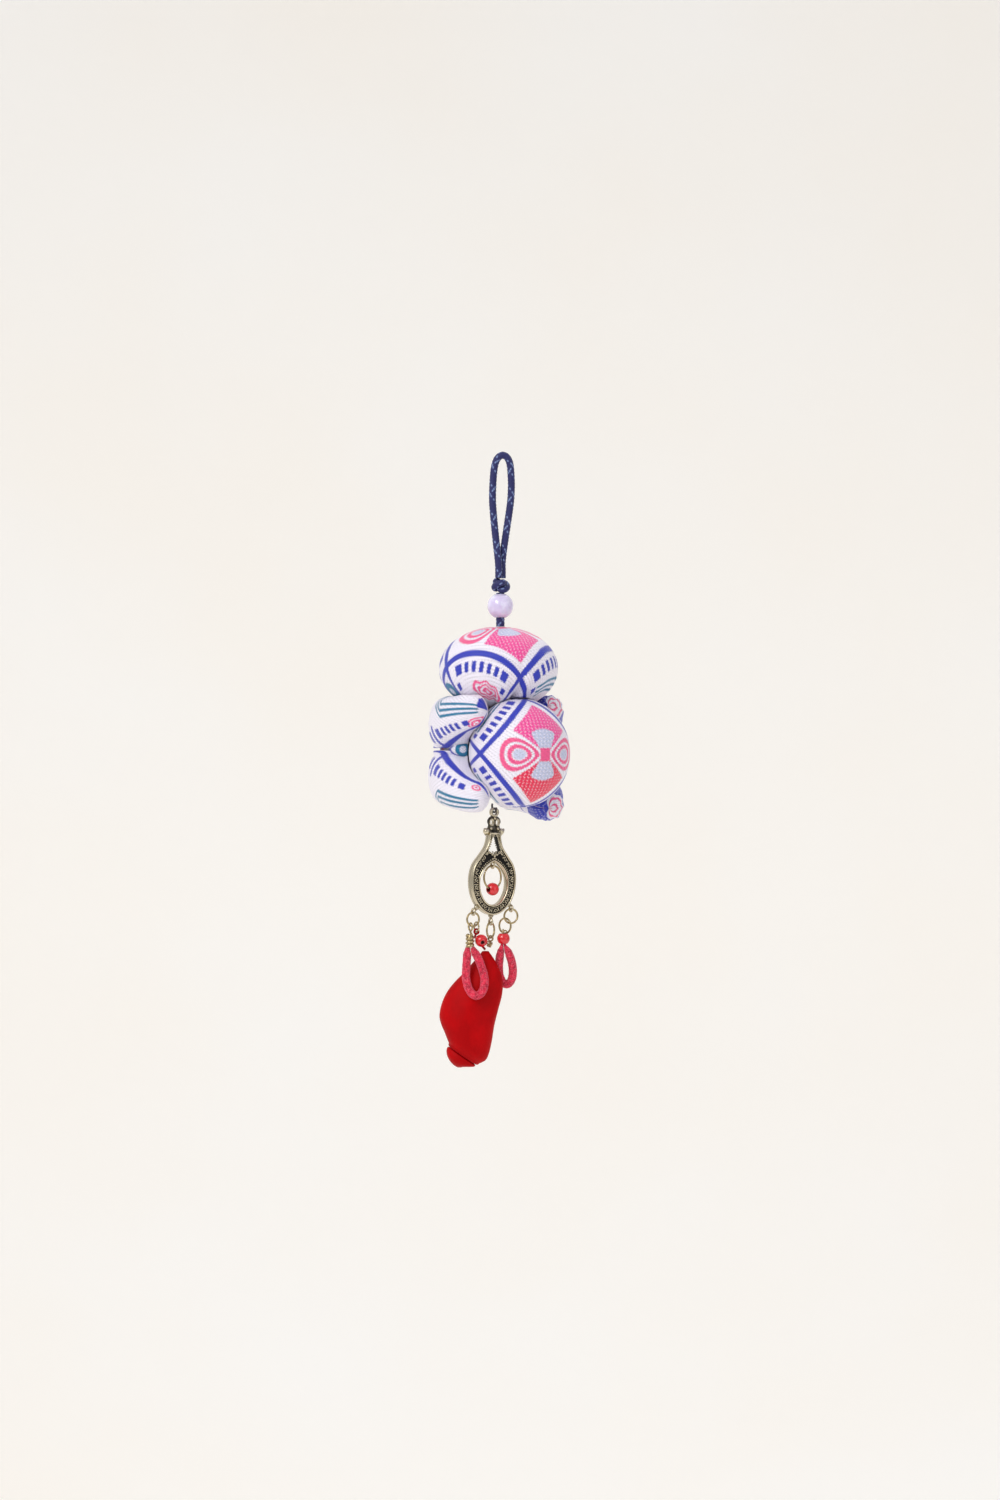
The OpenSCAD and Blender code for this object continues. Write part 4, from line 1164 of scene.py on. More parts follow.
def bead_profile(diameter, bore, lip, steps=40):
    """Half section of a bored ball with rounded lips, from inside the bore round to it again."""
    r, b = diameter / 2, bore / 2
    top = math.acos(min(1, (b + lip) / r))
    outer = [(r * math.cos(a), r * math.sin(a)) for a in np.linspace(-top, top, steps)]
    high = r * math.sin(top)
    curl = [(b + lip - lip * math.sin(a), high + lip * 0.55 * (math.cos(a) - 1))
            for a in np.linspace(0.3, math.pi / 2, 6)]
    inner = [(b, high - lip * 0.55 - (2 * high - lip * 1.1) * k / 5) for k in range(1, 5)]
    below = [(x, -z) for x, z in reversed(curl)]
    return outer + curl + inner + below


class CHARM_OT_stone_bead(bpy.types.Operator):
    """Make the bored lavender stone bead"""
    bl_idname = "charm.stone_bead"
    bl_label = "Stone bead"

    def execute(self, context):
        points, faces = lathe(bead_profile(8.0, 2.9, 0.3, 64), 112, centre=STONE)
        bead = new_object("stone", points * MM, faces, shared_material("stone"))
        finish_piece(bead, "root", "lavender_stone", "stone_bead")
        return {"FINISHED"}


# The stuffed figure

def reach(p, shape, grow=0.0):
    """How far out points lie in a full, rounded shape: 1 is its surface."""
    return (np.abs((p - shape[0]) / (shape[1] + grow)) ** FULLNESS).sum(-1) ** (1 / FULLNESS)


def pressed(p, shapes, grow=GAP, times=8):
    """Points moved out of the shapes that they are inside, so that soft parts press flat on each other."""
    for _ in range(times):
        for shape in shapes:
            k = reach(p, shape, grow)[..., None]
            p = np.where(k < 1, shape[0] + (p - shape[0]) / np.maximum(k, 0.05), p)
    return p


def fold_depth(table, az):
    depth = np.zeros_like(az)
    for at, deep, half in table:
        away = np.abs((az - at + 540) % 360 - 180)
        depth = np.maximum(depth, deep * np.exp(-(away / half) ** 2))
    return depth


def puckers(az, polar, counts, phase):
    """Fine folds that run up and down from a gathered end, from -1 to 1."""
    turn, down = np.radians(az), np.radians(polar)
    waves = sum(np.sin(n * turn + phase * (k + 1) + 0.8 * np.sin(down * (2 + k)))
                for k, n in enumerate(counts))
    return waves / len(counts)


def lobe_rings(shape, table, rings, sides, fine):
    """Rings of a full, rounded shape gathered by folds, with fine(az, polar) millimetres added outwards."""
    polar = np.linspace(0, 180, rings + 2)[1:-1, None]
    az = (np.arange(sides) * 360 / sides)[None, :]
    way = np.stack(np.broadcast_arrays(np.sin(np.radians(polar)) * np.cos(np.radians(az)),
                                       np.sin(np.radians(polar)) * np.sin(np.radians(az)),
                                       np.cos(np.radians(polar))), -1)
    r = 1 / reach(shape[0] + way, shape)
    fold = fold_depth(table, np.broadcast_to(az, r.shape)) * smooth((polar - 80) / 65)
    return shape[0] + way * (r * (1 - fold) + fine(az, polar))[..., None]


def azimuthal_chart(points, centre, pole, along, radius):
    """Chart in millimetres with true distances from a pole of a rounded shape."""
    pole = unit(pole)
    along = unit(np.asarray(along, float) - pole * np.dot(along, pole))
    way = unit(points - centre)
    up = way @ pole
    a, b = way @ along, way @ np.cross(pole, along)
    s = np.maximum(np.hypot(a, b), 1e-9)
    far = radius * np.arccos(np.clip(up, -1, 1))
    return np.stack([a / s * far, b / s * far], -1)


def stuffed(rings, neighbours, limits, cap, shrink):
    """Lets the cloth swell and crease under its stuffing, each point moving at most cap millimetres."""
    m, n = rings.shape[:2]
    points, faces = grid(rings)
    work = new_object("stuffing", points * MM * CLOTH_SCALE, faces, shared_material("page"))
    cloth = work.modifiers.new("Cloth", "CLOTH")
    setup = cloth.settings
    setup.quality = CLOTH_QUALITY
    setup.mass = 0.2
    setup.tension_stiffness = setup.compression_stiffness = 22
    setup.shear_stiffness = 8
    setup.bending_stiffness = 0.6
    setup.use_pressure = True
    setup.uniform_pressure_force = CLOTH_PRESSURE
    setup.shrink_min = -shrink
    setup.effector_weights.gravity = 0
    cloth.collision_settings.use_collision = False
    cloth.point_cache.frame_start, cloth.point_cache.frame_end = 1, CLOTH_FRAMES
    scene = bpy.context.scene
    for at in range(1, CLOTH_FRAMES + 1):
        scene.frame_set(at)
    seen = work.evaluated_get(bpy.context.evaluated_depsgraph_get())
    moved = np.zeros(len(points) * 3)
    seen.data.vertices.foreach_get("co", moved)
    moved = moved.reshape(-1, 3)[:m * n].reshape(m, n, 3) / (MM * CLOTH_SCALE)
    remove_object(work)
    scene.frame_set(1)
    step = moved - rings
    far = np.linalg.norm(step, axis=-1, keepdims=True)
    step = step * np.minimum(1, cap / np.maximum(far, 1e-9))
    return limits(pressed(rings + step, neighbours))


def soft_object(name, rings, uv, material, slot, fill):
    """A stuffed piece from rings and their chart, closed at its ends and subdivided once."""
    m, n = rings.shape[:2]
    points, faces = grid(rings)
    wide = np.concatenate([uv[:, :n], uv[:, -1:]], axis=1)
    quads = np.stack([wide[:-1, :-1], wide[1:, :-1], wide[1:, 1:], wide[:-1, 1:]], axis=2)
    corner_uv = [quads.reshape(-1, 2)]
    for row, first, second in ((0, 0, 1), (m - 1, 1, 0)):
        pair = [wide[row, :-1], wide[row, 1:]]
        if name == "head":
            middle = np.repeat(wide[row, :n].mean(0)[None], n, 0)
        else:
            middle = (pair[0] + pair[1]) / 2
        corner_uv.append(np.stack([middle, pair[first], pair[second]], axis=1).reshape(-1, 2))
    obj = new_object(name + "_cloth", points * MM, faces, material, np.vstack(corner_uv), turned=False)
    smoother = obj.modifiers.new("Smooth", "SUBSURF")
    smoother.levels = smoother.render_levels = 1
    smooth_mesh = bpy.data.meshes.new_from_object(obj.evaluated_get(bpy.context.evaluated_depsgraph_get()))
    obj.modifiers.remove(smoother)
    old = obj.data
    obj.data = smooth_mesh
    bpy.data.meshes.remove(old)
    obj.data.shade_smooth()
    return finish_piece(obj, "root", slot, name, fill=fill)


def nothing(points):
    return points


def chart_with_seam(uv):
    """The chart with its first column repeated at the end, so that the last faces close it."""
    return np.concatenate([uv, uv[:, :1]], axis=1)


class CHARM_OT_head(bpy.types.Operator):
    """Make the gathered head of the figure"""
    bl_idname = "charm.head"
    bl_label = "Head"

    def execute(self, context):
        deep = sizes().pucker / MM

        def fine(az, polar):
            gather = smooth((polar - 92) / 60)
            crown = smooth((22 - polar) / 22)
            front = np.exp(-((az - 292) / 42.0) ** 2)
            ripple = puckers(az, polar, (11, 17, 26), 1.3)
            wide = puckers(az, polar, (3, 5), 0.4) * 0.16 * np.sin(np.radians(polar)) ** 2
            wide = wide - fold_depth(NECK_CREASES, az) * smooth((polar - 86) / 34)
            return deep * (ripple * gather * (1.0 + 2.6 * front) - crown * 1.2 * (1 + 0.5 * ripple)) + wide

        rings = lobe_rings(HEAD, HEAD_FOLDS, 110, 176, fine)
        rings = pressed(rings, [BALL])
        rings = stuffed(rings, [BALL], nothing, 0.35, 0.02)
        az, lean = math.radians(-64), math.radians(16)
        uv = azimuthal_chart(rings, HEAD[0], (0.07, -math.sin(lean), math.cos(lean)),
                             (math.sin(az), -math.cos(az), 0), CHART_RADIUS["head"])
        soft_object("head", rings, chart_with_seam(uv), shared_material("brocade"), "brocade", 0.85)
        return {"FINISHED"}


class CHARM_OT_ball(bpy.types.Operator):
    """Make the stuffed ball that the figure hugs"""
    bl_idname = "charm.ball"
    bl_label = "Ball"

    def execute(self, context):
        deep = sizes().pucker / MM

        def fine(az, polar):
            back = np.exp(-((az - 135) / 60.0) ** 2)
            ends = smooth((polar - 150) / 30) + smooth((24 - polar) / 24)
            return deep * puckers(az, polar, (9, 14, 23), 0.7) * (back + ends) - 0.1 * ends

        rings = lobe_rings(BALL, BALL_FOLDS, 116, 176, fine)
        rings = stuffed(rings, [], nothing, 0.22, 0.01)
        yaw = math.radians(30)
        pole = (math.sin(yaw), -math.cos(yaw), -0.026)
        uv = azimuthal_chart(rings, BALL[0], pole, (math.cos(yaw), math.sin(yaw), 0),
                             CHART_RADIUS["ball"])
        soft_object("ball", rings, chart_with_seam(uv), shared_material("brocade"), "ball_brocade", 0.95)
        return {"FINISHED"}


class CHARM_OT_torso(bpy.types.Operator):
    """Make the stuffed torso behind the ball"""
    bl_idname = "charm.torso"
    bl_label = "Torso"

    def execute(self, context):
        deep = sizes().pucker / MM

        def fine(az, polar):
            valley = np.exp(-((az - 250) / 18.0) ** 2) * np.exp(-((polar - 90) / 13.0) ** 2)
            return deep * puckers(az, polar, (8, 13, 21), 2.1) * 0.8 + 4.8 * valley

        rings = lobe_rings(TORSO_BODY, [], 84, 132, fine)
        rings = pressed(rings, [BALL, HEAD])
        rings = stuffed(rings, [BALL, HEAD], nothing, 0.3, 0.015)
        az = math.radians(161.5)
        uv = azimuthal_chart(rings, TORSO[0], (math.cos(az), math.sin(az), 0),
                             (-math.sin(az), math.cos(az), 0), CHART_RADIUS["torso"])
        soft_object("torso", rings, chart_with_seam(uv), shared_material("brocade"), "brocade", 0.8)
        return {"FINISHED"}


def bezier(p, t):
    p = np.asarray(p, float)
    t = np.asarray(t, float)[..., None]
    s = 1 - t
    return s ** 3 * p[0] + 3 * s * s * t * p[1] + 3 * s * t * t * p[2] + t ** 3 * p[3]


def limb_rings(route, rings, sides, fine):
    """Rings along a limb, its angle measured from its outer side, with fine(t, angle) added outwards."""
    i = np.arange(1, rings + 1)
    t = (1 - np.cos(np.pi * i / (rings + 1))) / 2
    centre = bezier(route, t)
    ahead = unit(bezier(route, np.minimum(1, t + 0.02)) - bezier(route, np.maximum(0, t - 0.02)))
    up = unit(np.array([0, 0, 1.0]) - ahead * ahead[:, 2:])
    across = np.cross(ahead, up)
    first = np.sqrt(1 - (1 - np.minimum(1, t / 0.16)) ** 2)
    last = np.sqrt(np.maximum(0, 1 - np.maximum(0, (t - 0.88) / 0.12) ** 2))
    w = LIMB_ROOT / 2 * np.interp(t, LIMB_SECTIONS[:, 0], LIMB_SECTIONS[:, 1]) * first * last
    h = LIMB_ROOT / 2 * np.interp(t, LIMB_SECTIONS[:, 0], LIMB_SECTIONS[:, 2]) * first * last
    angle = (np.arange(sides) / sides * 2 - 1) * math.pi
    c, s = np.cos(angle), np.sin(angle)
    square = (np.abs(c) ** LIMB_SQUARENESS + np.abs(s) ** LIMB_SQUARENESS) ** (-1 / LIMB_SQUARENESS)
    extra = fine(t[:, None], angle[None, :]) * (first * last)[:, None]
    out = (across[:, None] * (w[:, None] * c * square + extra * c)[..., None]
           + up[:, None] * (h[:, None] * s * square + extra * s)[..., None])
    return centre[:, None] + out, angle


def make_limb(name, upper):
    deep = sizes().pucker / MM
    route = LIMBS[name]
    near = name.startswith("near")
    # The outer side of the near limbs is the left of their way, and of the far limbs the right.
    outward = 1.0 if near else -1.0

    def fine(t, angle):
        tip = smooth((t - 0.62) / 0.3)
        root = smooth((0.3 - t) / 0.3)
        rays = (np.sin(9 * angle + 1.1 + 3 * t) + 0.7 * np.sin(15 * angle + 2.3 - 5 * t)
                + 0.5 * np.sin(23 * angle + 4 * t))
        swell = 0.25 * np.sin(11 * t + 1.7 * np.sin(angle)) * np.cos(angle)
        return deep * rays * (0.25 + 1.1 * tip + 0.6 * root) * 0.6 + swell * 0.6

    rings, angle = limb_rings(route, 84, 96, fine)

    def limits(p):
        p = p.copy()
        if upper:
            p[..., 2] = np.maximum(p[..., 2], LIMB_SPLIT + GAP / 2)
        else:
            p[..., 2] = np.minimum(p[..., 2], LIMB_SPLIT - GAP / 2)
        return p

    rings = pressed(limits(rings), [TORSO, HEAD, BALL])
    rings = stuffed(rings, [TORSO, HEAD, BALL], limits, 0.3, 0.02)
    side = np.argmin(np.abs(angle - (0 if outward > 0 else math.pi * 0.98)))
    along = arc_lengths(rings[:, side])
    # Angle from the outer horizontal, positive upwards, unrolled across the hidden inner side.
    lift = angle if outward > 0 else np.where(angle > 0, math.pi - angle, -math.pi - angle)
    away = np.append(lift, lift[0] + (2 * math.pi if outward > 0 else 0)) * CHART_RADIUS["limb"]
    if near:
        u = along
        v = away + 8.0 if upper else 8.0 - away
        drift = 0.08 * (u - 14) if upper else 0 * u
        uv = np.stack(np.broadcast_arrays(u[:, None], v[None, :] + drift[:, None]), -1)
        material = make_brocade(
            "Brocade " + name, shared_material("limb_brocade"), Bars_from=BARS_FROM[name],
            Tip_from=TIP_FROM[name], Stripes_out=0.0 if upper else 0.4, Patch=1.0 if upper else 0.0)
    else:
        u = along[-1] - along
        uv = np.stack(np.broadcast_arrays(u[:, None], away[None, :]), -1)
        material = shared_material("tips")
    soft_object(name, rings, uv, material, "brocade", 0.85)


class CHARM_OT_limbs(bpy.types.Operator):
    """Make the two arms and two legs that wrap round the ball"""
    bl_idname = "charm.limbs"
    bl_label = "Arms and legs"

    def execute(self, context):
        for name in LIMBS:
            make_limb(name, name.endswith("arm"))
        return {"FINISHED"}


def yaw_turn(degrees):
    """The matrix of a turn about the vertical."""
    c, s = math.cos(math.radians(degrees)), math.sin(math.radians(degrees))
    return np.array([[c, -s, 0], [s, c, 0], [0, 0, 1]])


class CHARM_OT_hanger(bpy.types.Operator):
    """Make the sewn loop of waxed thread under the figure"""
    bl_idname = "charm.hanger"
    bl_label = "Sewn loop"

    def execute(self, context):
        turn, legs = 1.25, (0.2, 1.35)
        half = np.radians(np.linspace(180, 360, 40))
        bow = np.stack([turn * np.cos(half), 0 * half, turn * np.sin(half)], 1)
        path = np.vstack([[-turn, 0, legs[0]], bow, [turn, 0, legs[1]]])
        path = spline(path, 70) @ yaw_turn(DROP_YAW + 90).T + PIVOT + [0, 0, turn]
        parts = Parts()
        for k in range(3):
            a, b = carried_frames(path, (1, 0, 0))
            far = arc_lengths(path)[:, None]
            phase = far * 2.6 + k * 2 * math.pi / 3
            strand = path + (a * np.cos(phase) + b * np.sin(phase)) * 0.15
            parts.add(*grid(sweep(strand, 0.175, 12, (1, 0, 0))))
        finish_piece(parts.build("sewn_loop", shared_material("thread")), "root", "thread", "hanger_loop")
        return {"FINISHED"}


# The cast drop

def both_sides(table, steps=8):
    """A half outline mirrored to a closed one, right side downwards first."""
    t = np.asarray(table, float)
    fine = spline(t, (len(t) - 1) * steps + 1)
    back = fine[::-1]
    back = back[back[:, 0] > 0.01] * [-1, 1]
    return np.vstack([fine, back])


def inset(outline, d):
    """The outline moved inwards along its normals."""
    t = unit(np.roll(outline, -1, 0) - np.roll(outline, 1, 0))
    return outline + np.stack([t[:, 1], -t[:, 0]], 1) * d


def plate(outlines, thickness, soft=0.08):
    """Points and faces of a flat plate with holes, lying in x and y with softened edges."""
    curve = bpy.data.curves.new("plate", "CURVE")
    curve.dimensions = "2D"
    curve.fill_mode = "BOTH"
    curve.extrude = thickness / 2 - soft
    curve.bevel_depth = soft
    curve.bevel_resolution = 1
    curve.offset = -soft
    for outline in outlines:
        line = curve.splines.new("POLY")
        line.points.add(len(outline) - 1)
        for point, (x, y) in zip(line.points, outline):
            point.co = (x, y, 0, 1)
        line.use_cyclic_u = True
    obj = bpy.data.objects.new("plate", curve)
    bpy.context.scene.collection.objects.link(obj)
    mesh = bpy.data.meshes.new_from_object(obj.evaluated_get(bpy.context.evaluated_depsgraph_get()))
    work = bmesh.new()
    work.from_mesh(mesh)
    bmesh.ops.remove_doubles(work, verts=work.verts, dist=1e-5)
    bmesh.ops.triangulate(work, faces=[f for f in work.faces if len(f.verts) > 4])
    work.to_mesh(mesh)
    work.free()
    points, faces = mesh_arrays(mesh)
    bpy.data.objects.remove(obj)
    bpy.data.curves.remove(curve)
    bpy.data.meshes.remove(mesh)
    return points, faces


def disc(centre, radius, steps=28):
    a = np.linspace(0, 2 * math.pi, steps, endpoint=False)
    return np.stack([centre[0] + radius * np.cos(a), centre[1] + radius * np.sin(a)], 1)


def rail(path2, width, thickness, closed=True, sides=20, squareness=3.2):
    """Points, faces and darkness of a rounded rail along a flat path, standing through the plate."""
    path = np.column_stack([path2, np.zeros(len(path2))])
    angle = np.arange(sides) * 2 * math.pi / sides
    c, s = np.cos(angle), np.sin(angle)
    r = (np.abs(c) ** squareness + np.abs(s) ** squareness) ** (-1 / squareness)
    if closed:
        ahead = unit(np.roll(path, -1, 0) - np.roll(path, 1, 0))
    else:
        ahead = unit(np.gradient(path, axis=0))
    out = np.cross(ahead, [0, 0, 1.0])
    rings = (path[:, None] + out[:, None] * (width / 2 * c * r)[None, :, None]
             + np.array([0, 0, 1.0]) * (thickness / 2 * s * r)[None, :, None])
    points, faces = grid(rings, closed)
    dark = np.tile(0.55 * smooth((0.35 - np.abs(s)) / 0.35), len(path))
    return points, faces, np.append(dark, np.zeros(len(points) - len(dark)))


def ball_shape(centre, radius, sides=24):
    a = np.linspace(-math.pi / 2, math.pi / 2, sides // 2 + 1)[1:-1]
    return lathe(np.stack([radius * np.cos(a), radius * np.sin(a)], 1), sides, centre=centre, closed=False)


def small_ball_object():
    work = bmesh.new()
    bmesh.ops.create_icosphere(work, subdivisions=2, radius=1.0)
    mesh = bpy.data.meshes.new("granule")
    work.to_mesh(mesh)
    work.free()
    obj = bpy.data.objects.new("granule", mesh)
    bpy.context.scene.collection.objects.link(obj)
    return obj


def scroll_object():
    """One open S of wire, about one millimetre long, lying flat."""
    t = np.linspace(0.08, 1, 14)[:, None]
    turn = t * 1.55 * math.pi
    curl = np.hstack([0.44 * (1 - 0.62 * t) * np.cos(turn), 0.44 * (1 - 0.62 * t) * np.sin(turn), 0 * t])
    curl = curl - curl[0]
    path = np.vstack([-curl[::-1], curl[1:]])
    points, faces = grid(sweep(path, 0.115, 6, (0, 0, 1), flat=1.6))
    return new_object("scroll", points, faces, shared_material("metal"))


def repeat_along(route2, height, piece, count, size, change, seed):
    """A small piece repeated along a closed flat route at a height, as points and faces."""
    points = np.column_stack([route2, np.full(len(route2), height)])
    closed = [(i, (i + 1) % len(points)) for i in range(len(points))]
    mesh = bpy.data.meshes.new("route")
    mesh.from_pydata([tuple(p) for p in points], closed, [])
    route = bpy.data.objects.new("route", mesh)
    bpy.context.scene.collection.objects.link(route)
    made = run_nodes(route, shared_material("along_route"), {
        "Piece": piece, "Count": count, "Size": size, "Size change": change, "Seed": seed,
        "Finish": shared_material("metal")})
    result = mesh_arrays(made)
    bpy.data.meshes.remove(made)
    remove_object(route)
    return result


def in_drop(points):
    """Points of the drop's own plane, x and height with the thickness last, as places in the object."""
    p = np.column_stack([points[:, 0], -points[:, 2], points[:, 1]])
    c, s = math.cos(math.radians(DROP_LEAN)), math.sin(math.radians(DROP_LEAN))
    return p @ np.array([[c, 0, s], [0, 1, 0], [-s, 0, c]]).T @ yaw_turn(DROP_YAW).T + PIVOT


# Single balls on the drop's faces: place and height in its own plane, and radius.
DROP_BALLS = ((0, -13.5, 0.42), (-0.85, -13.1, 0.3), (0.85, -13.1, 0.3), (-0.5, -14.3, 0.28),
              (0.5, -14.3, 0.28), (2.6, -12.9, 0.3), (-2.6, -12.9, 0.3), (2.2, -11.2, 0.24),
              (-2.2, -11.2, 0.24))


class CHARM_OT_drop(bpy.types.Operator):
    """Make the cast openwork drop with its rails, granules, scrolls, neck and eyes"""
    bl_idname = "charm.drop"
    bl_label = "Cast drop"

    def execute(self, context):
        size = sizes()
        plate_t, rail_t = size.plate_t / MM, size.rail_t / MM
        outline, oval, window = (both_sides(t) for t in (DROP_OUTLINE, OVAL_OUTLINE, WINDOW_OUTLINE))
        parts = Parts("recess")

        def place(points, faces, recess):
            parts.add(in_drop(points), faces, recess=recess)

        def foot(points, side, tall):
            """1 where a small piece stands on the plate's face, 0 from so far above it."""
            return smooth((tall - np.abs(points[:, 2] * side - plate_t / 2)) / tall)

        place(*plate([inset(outline, 0.3), inset(oval, -0.25), window], plate_t, 0.05), 1.0)
        points, faces, dark = rail(inset(outline, 0.36), 0.72, rail_t)
        place(points, faces, dark)
        points, faces, dark = rail(inset(oval, -0.4), 0.8, rail_t - 0.1, squareness=2.2)
        place(points, faces, dark * 0.6)
        points, faces, dark = rail(inset(window, -0.22), 0.42, rail_t - 0.2)
        place(points, faces, dark * 0.4)

        granule, scroll = small_ball_object(), scroll_object()
        r = size.granule / MM
        for side in (-1, 1):
            level = side * (plate_t / 2 + 0.1)
            for route, count, seed in ((inset(outline, 1.08), size.granules, 3),
                                       (inset(oval, -1.02), 58, 5)):
                points, faces = repeat_along(route, level, granule, count, r, r * 0.12, seed)
                place(points, faces, 0.75 * foot(points, side, 0.24))
            middle = inset(outline, 1.55)
            middle = middle[middle[:, 1] < -12.4]
            points, faces = repeat_along(middle, level - side * 0.02, scroll, size.scrolls, 1.1, 0.12, 7)
            place(points, faces, 0.5 * foot(points, side, 0.2))
            for x, z, big in DROP_BALLS:
                place(*ball_shape((x, z, level), big, 14), 0.2)
        remove_object(granule)
        remove_object(scroll)

        # Neck: eye, pair of small loops, side knobs and the shoulders that join them to the rails.
        place(*plate([disc((0, 0), 1.5, 40), disc((0, 0), 0.72, 32)], 1.2, 0.22), 0.15)
        shoulders = [[-1.9, -6.5], [-2.35, -5.9], [-2.1, -4.9], [-1.9, -3.9], [-2.25, -2.8], [-1.6, -1.6],
                     [-0.6, -1.15]]
        shoulders += [[-x, z] for x, z in reversed(shoulders)]
        a = np.linspace(0, 2 * math.pi, 24, endpoint=False)
        holes = [np.stack([c + 0.56 * np.cos(a), -3.1 + 0.88 * np.sin(a)], 1) for c in (-1, 1)]
        place(*plate([spline(shoulders, 90, closed=True), *holes], 0.9, 0.2), 0.85)
        for hole in holes:
            points, faces, dark = rail(inset(hole[::-1], -0.15), 0.36, 1.5)
            place(points, faces, dark)
        for side in (-1, 1):
            place(*ball_shape((side * 2.5, -5.9, 0), 1.05, 26), 0.1)
            place(*ball_shape((side * 1.15, -5.0, 0.5), 0.5, 16), 0.05)
            place(*ball_shape((side * 1.15, -5.0, -0.5), 0.5, 16), 0.05)
            brace = np.array([[side * 3.3, -5.0, 0.3], [side * 3.4, -6.0, 0], [side * 2.6, -7.0, -0.2]])
            place(*grid(sweep(brace, 0.34, 12)), 0.1)
        place(*ball_shape((0, -1.85, 0.55), 0.5, 16), 0.0)
        place(*ball_shape((0, -1.85, -0.55), 0.5, 16), 0.0)

        # Eyes that carry the rings, and the eye inside the oval.
        for x, z, angle in EYES + [[0, -16.2, None]]:
            ring, faces = upright_eye(x, z)
            place(ring, faces, 0.05)
            if angle is not None:
                c, s = math.cos(math.radians(angle)), math.sin(math.radians(angle))
                stub = np.array([[x + far * c, z + far * s, 0] for far in (0.9, 1.5, 2.2)])
                place(*grid(sweep(stub, [0.55, 0.75, 0.95], 18)), 0.25)
        drop = parts.build("cast_drop", shared_material("metal"))
        finish_piece(drop, "pendant", "antique_metal", "drop_frame")
        return {"FINISHED"}


def upright_eye(x, z, radius=0.95, wire=0.33):
    """A small ring that stands across the drop's plane."""
    a = np.linspace(0, 2 * math.pi, 32, endpoint=False)
    path = np.stack([np.full_like(a, x), z + radius * np.cos(a), radius * np.sin(a)], 1)
    return grid(sweep(path, wire, 14, (1, 0, 0), closed=True), closed=True)


class CHARM_OT_rings(bpy.types.Operator):
    """Make the jump rings and the small link"""
    bl_idname = "charm.rings"
    bl_label = "Jump rings"

    def execute(self, context):
        for name, spec in RINGS.items():
            points, faces = upright_ring(spec, cut=spec[4])
            ring = new_object(name + "_wire", points * MM, faces, shared_material("brass"))
            finish_piece(ring, "pendant", "ring_brass", name)
        return {"FINISHED"}


class CHARM_OT_beads(bpy.types.Operator):
    """Make the three small lacquered beads"""
    bl_idname = "charm.beads"
    bl_label = "Small beads"

    def execute(self, context):
        for name, (centre, diameter, bore, axis) in BEADS.items():
            profile = np.array(bead_profile(diameter, bore, 0.16, 40))
            points, faces = lathe(profile, 72, axis, centre)
            # The rim mark covers the bore and its lips, where the lacquer paints shade.
            out = np.linalg.norm(np.cross(points - centre, unit(axis)), axis=1)
            rim = 1 - smooth((out - bore / 2 - 0.02) / 0.22)
            bead = new_object(name + "_red", points * MM, faces, shared_material("lacquer"),
                              marks={"rim": rim})
            finish_piece(bead, "pendant", "painted_bead", name)
        return {"FINISHED"}


def helix(centre, axis, radius, pitch, turns, steps, start=0.0):
    axis = unit(axis)
    side = unit(np.cross(axis, [0.2, 0.3, 1]) if abs(axis[2]) < 0.9 else np.cross(axis, [0, 1, 0]))
    other = np.cross(axis, side)
    a = np.linspace(0, 2 * math.pi * turns, steps) + start
    rise = (np.linspace(0, 1, steps) - 0.5) * pitch * turns
    around = side * np.cos(a)[:, None] + other * np.sin(a)[:, None]
    return np.asarray(centre) + radius * around + axis * rise[:, None]


class CHARM_OT_wires(bpy.types.Operator):
    """Make the coiled crimp, the two bead pins and the flower's stem"""
    bl_idname = "charm.wires"
    bl_label = "Crimp, pins and stem"

    def execute(self, context):
        crimp = Parts()
        coil = helix(CRIMP, (0, 0, 1), 0.86, 1.12, 3.15, 130)
        crimp.add(*grid(sweep(coil, 0.46, 16, (0, 0, 1), flat=1.18)))
        crimp.add(*lathe([(0.05, -1.5), (0.85, -1.5), (0.85, 1.6), (0.5, 2.0), (0.05, 2.0)], 28,
                         centre=CRIMP, closed=False))
        riser = spline([CRIMP + [0.75, -0.3, 1.5], CRIMP + [0.5, -0.3, 2.0], CRIMP + [0.18, -0.24, 2.6],
                        CRIMP + [0.18, -0.24, 3.15]], 20)
        crimp.add(*grid(sweep(riser, 0.34, 14)))
        crimp.add(*upright_ring(CRIMP_LOOP))
        finish_piece(crimp.build("coiled_crimp", shared_material("brass")), "pendant", "ring_brass",
                     "cord_crimp")

        pin = Parts()
        pin.add(*upright_ring(FLOWER_EYE, sides=12, steps=40))
        pin.add(*grid(sweep(helix(PIN_COIL, PIN_COIL_DIR, 0.7, 0.54, 2.2, 90), 0.25, 12, PIN_COIL_DIR)))
        pin.add(*grid(sweep(spline(FLOWER_PIN_ROUTE, 60), 0.24, 12, (0, 0, 1))))
        finish_piece(pin.build("bead_pin_left", shared_material("brass")), "pendant", "ring_brass",
                     "flower_pin")

        pin = Parts()
        pin.add(*upright_ring(RIGHT_EYE, sides=12, steps=40))
        pin.add(*grid(sweep(spline(RIGHT_PIN_ROUTE, 60), 0.24, 12, (1, 0, 0))))
        finish_piece(pin.build("bead_pin_right", shared_material("brass")), "pendant", "ring_brass",
                     "right_pin")

        stem = Parts("edge")
        stem.add(*upright_ring(STEM_LOOP, sides=12, steps=40), edge=0.5)
        stem.add(*grid(sweep(spline(STEM_ROUTE, 60), 0.34, 14, (1, 0, 0))), edge=0.6)
        finish_piece(stem.build("red_stem", shared_material("flower")), "pendant", "flower_red",
                     "flower_stem")
        return {"FINISHED"}


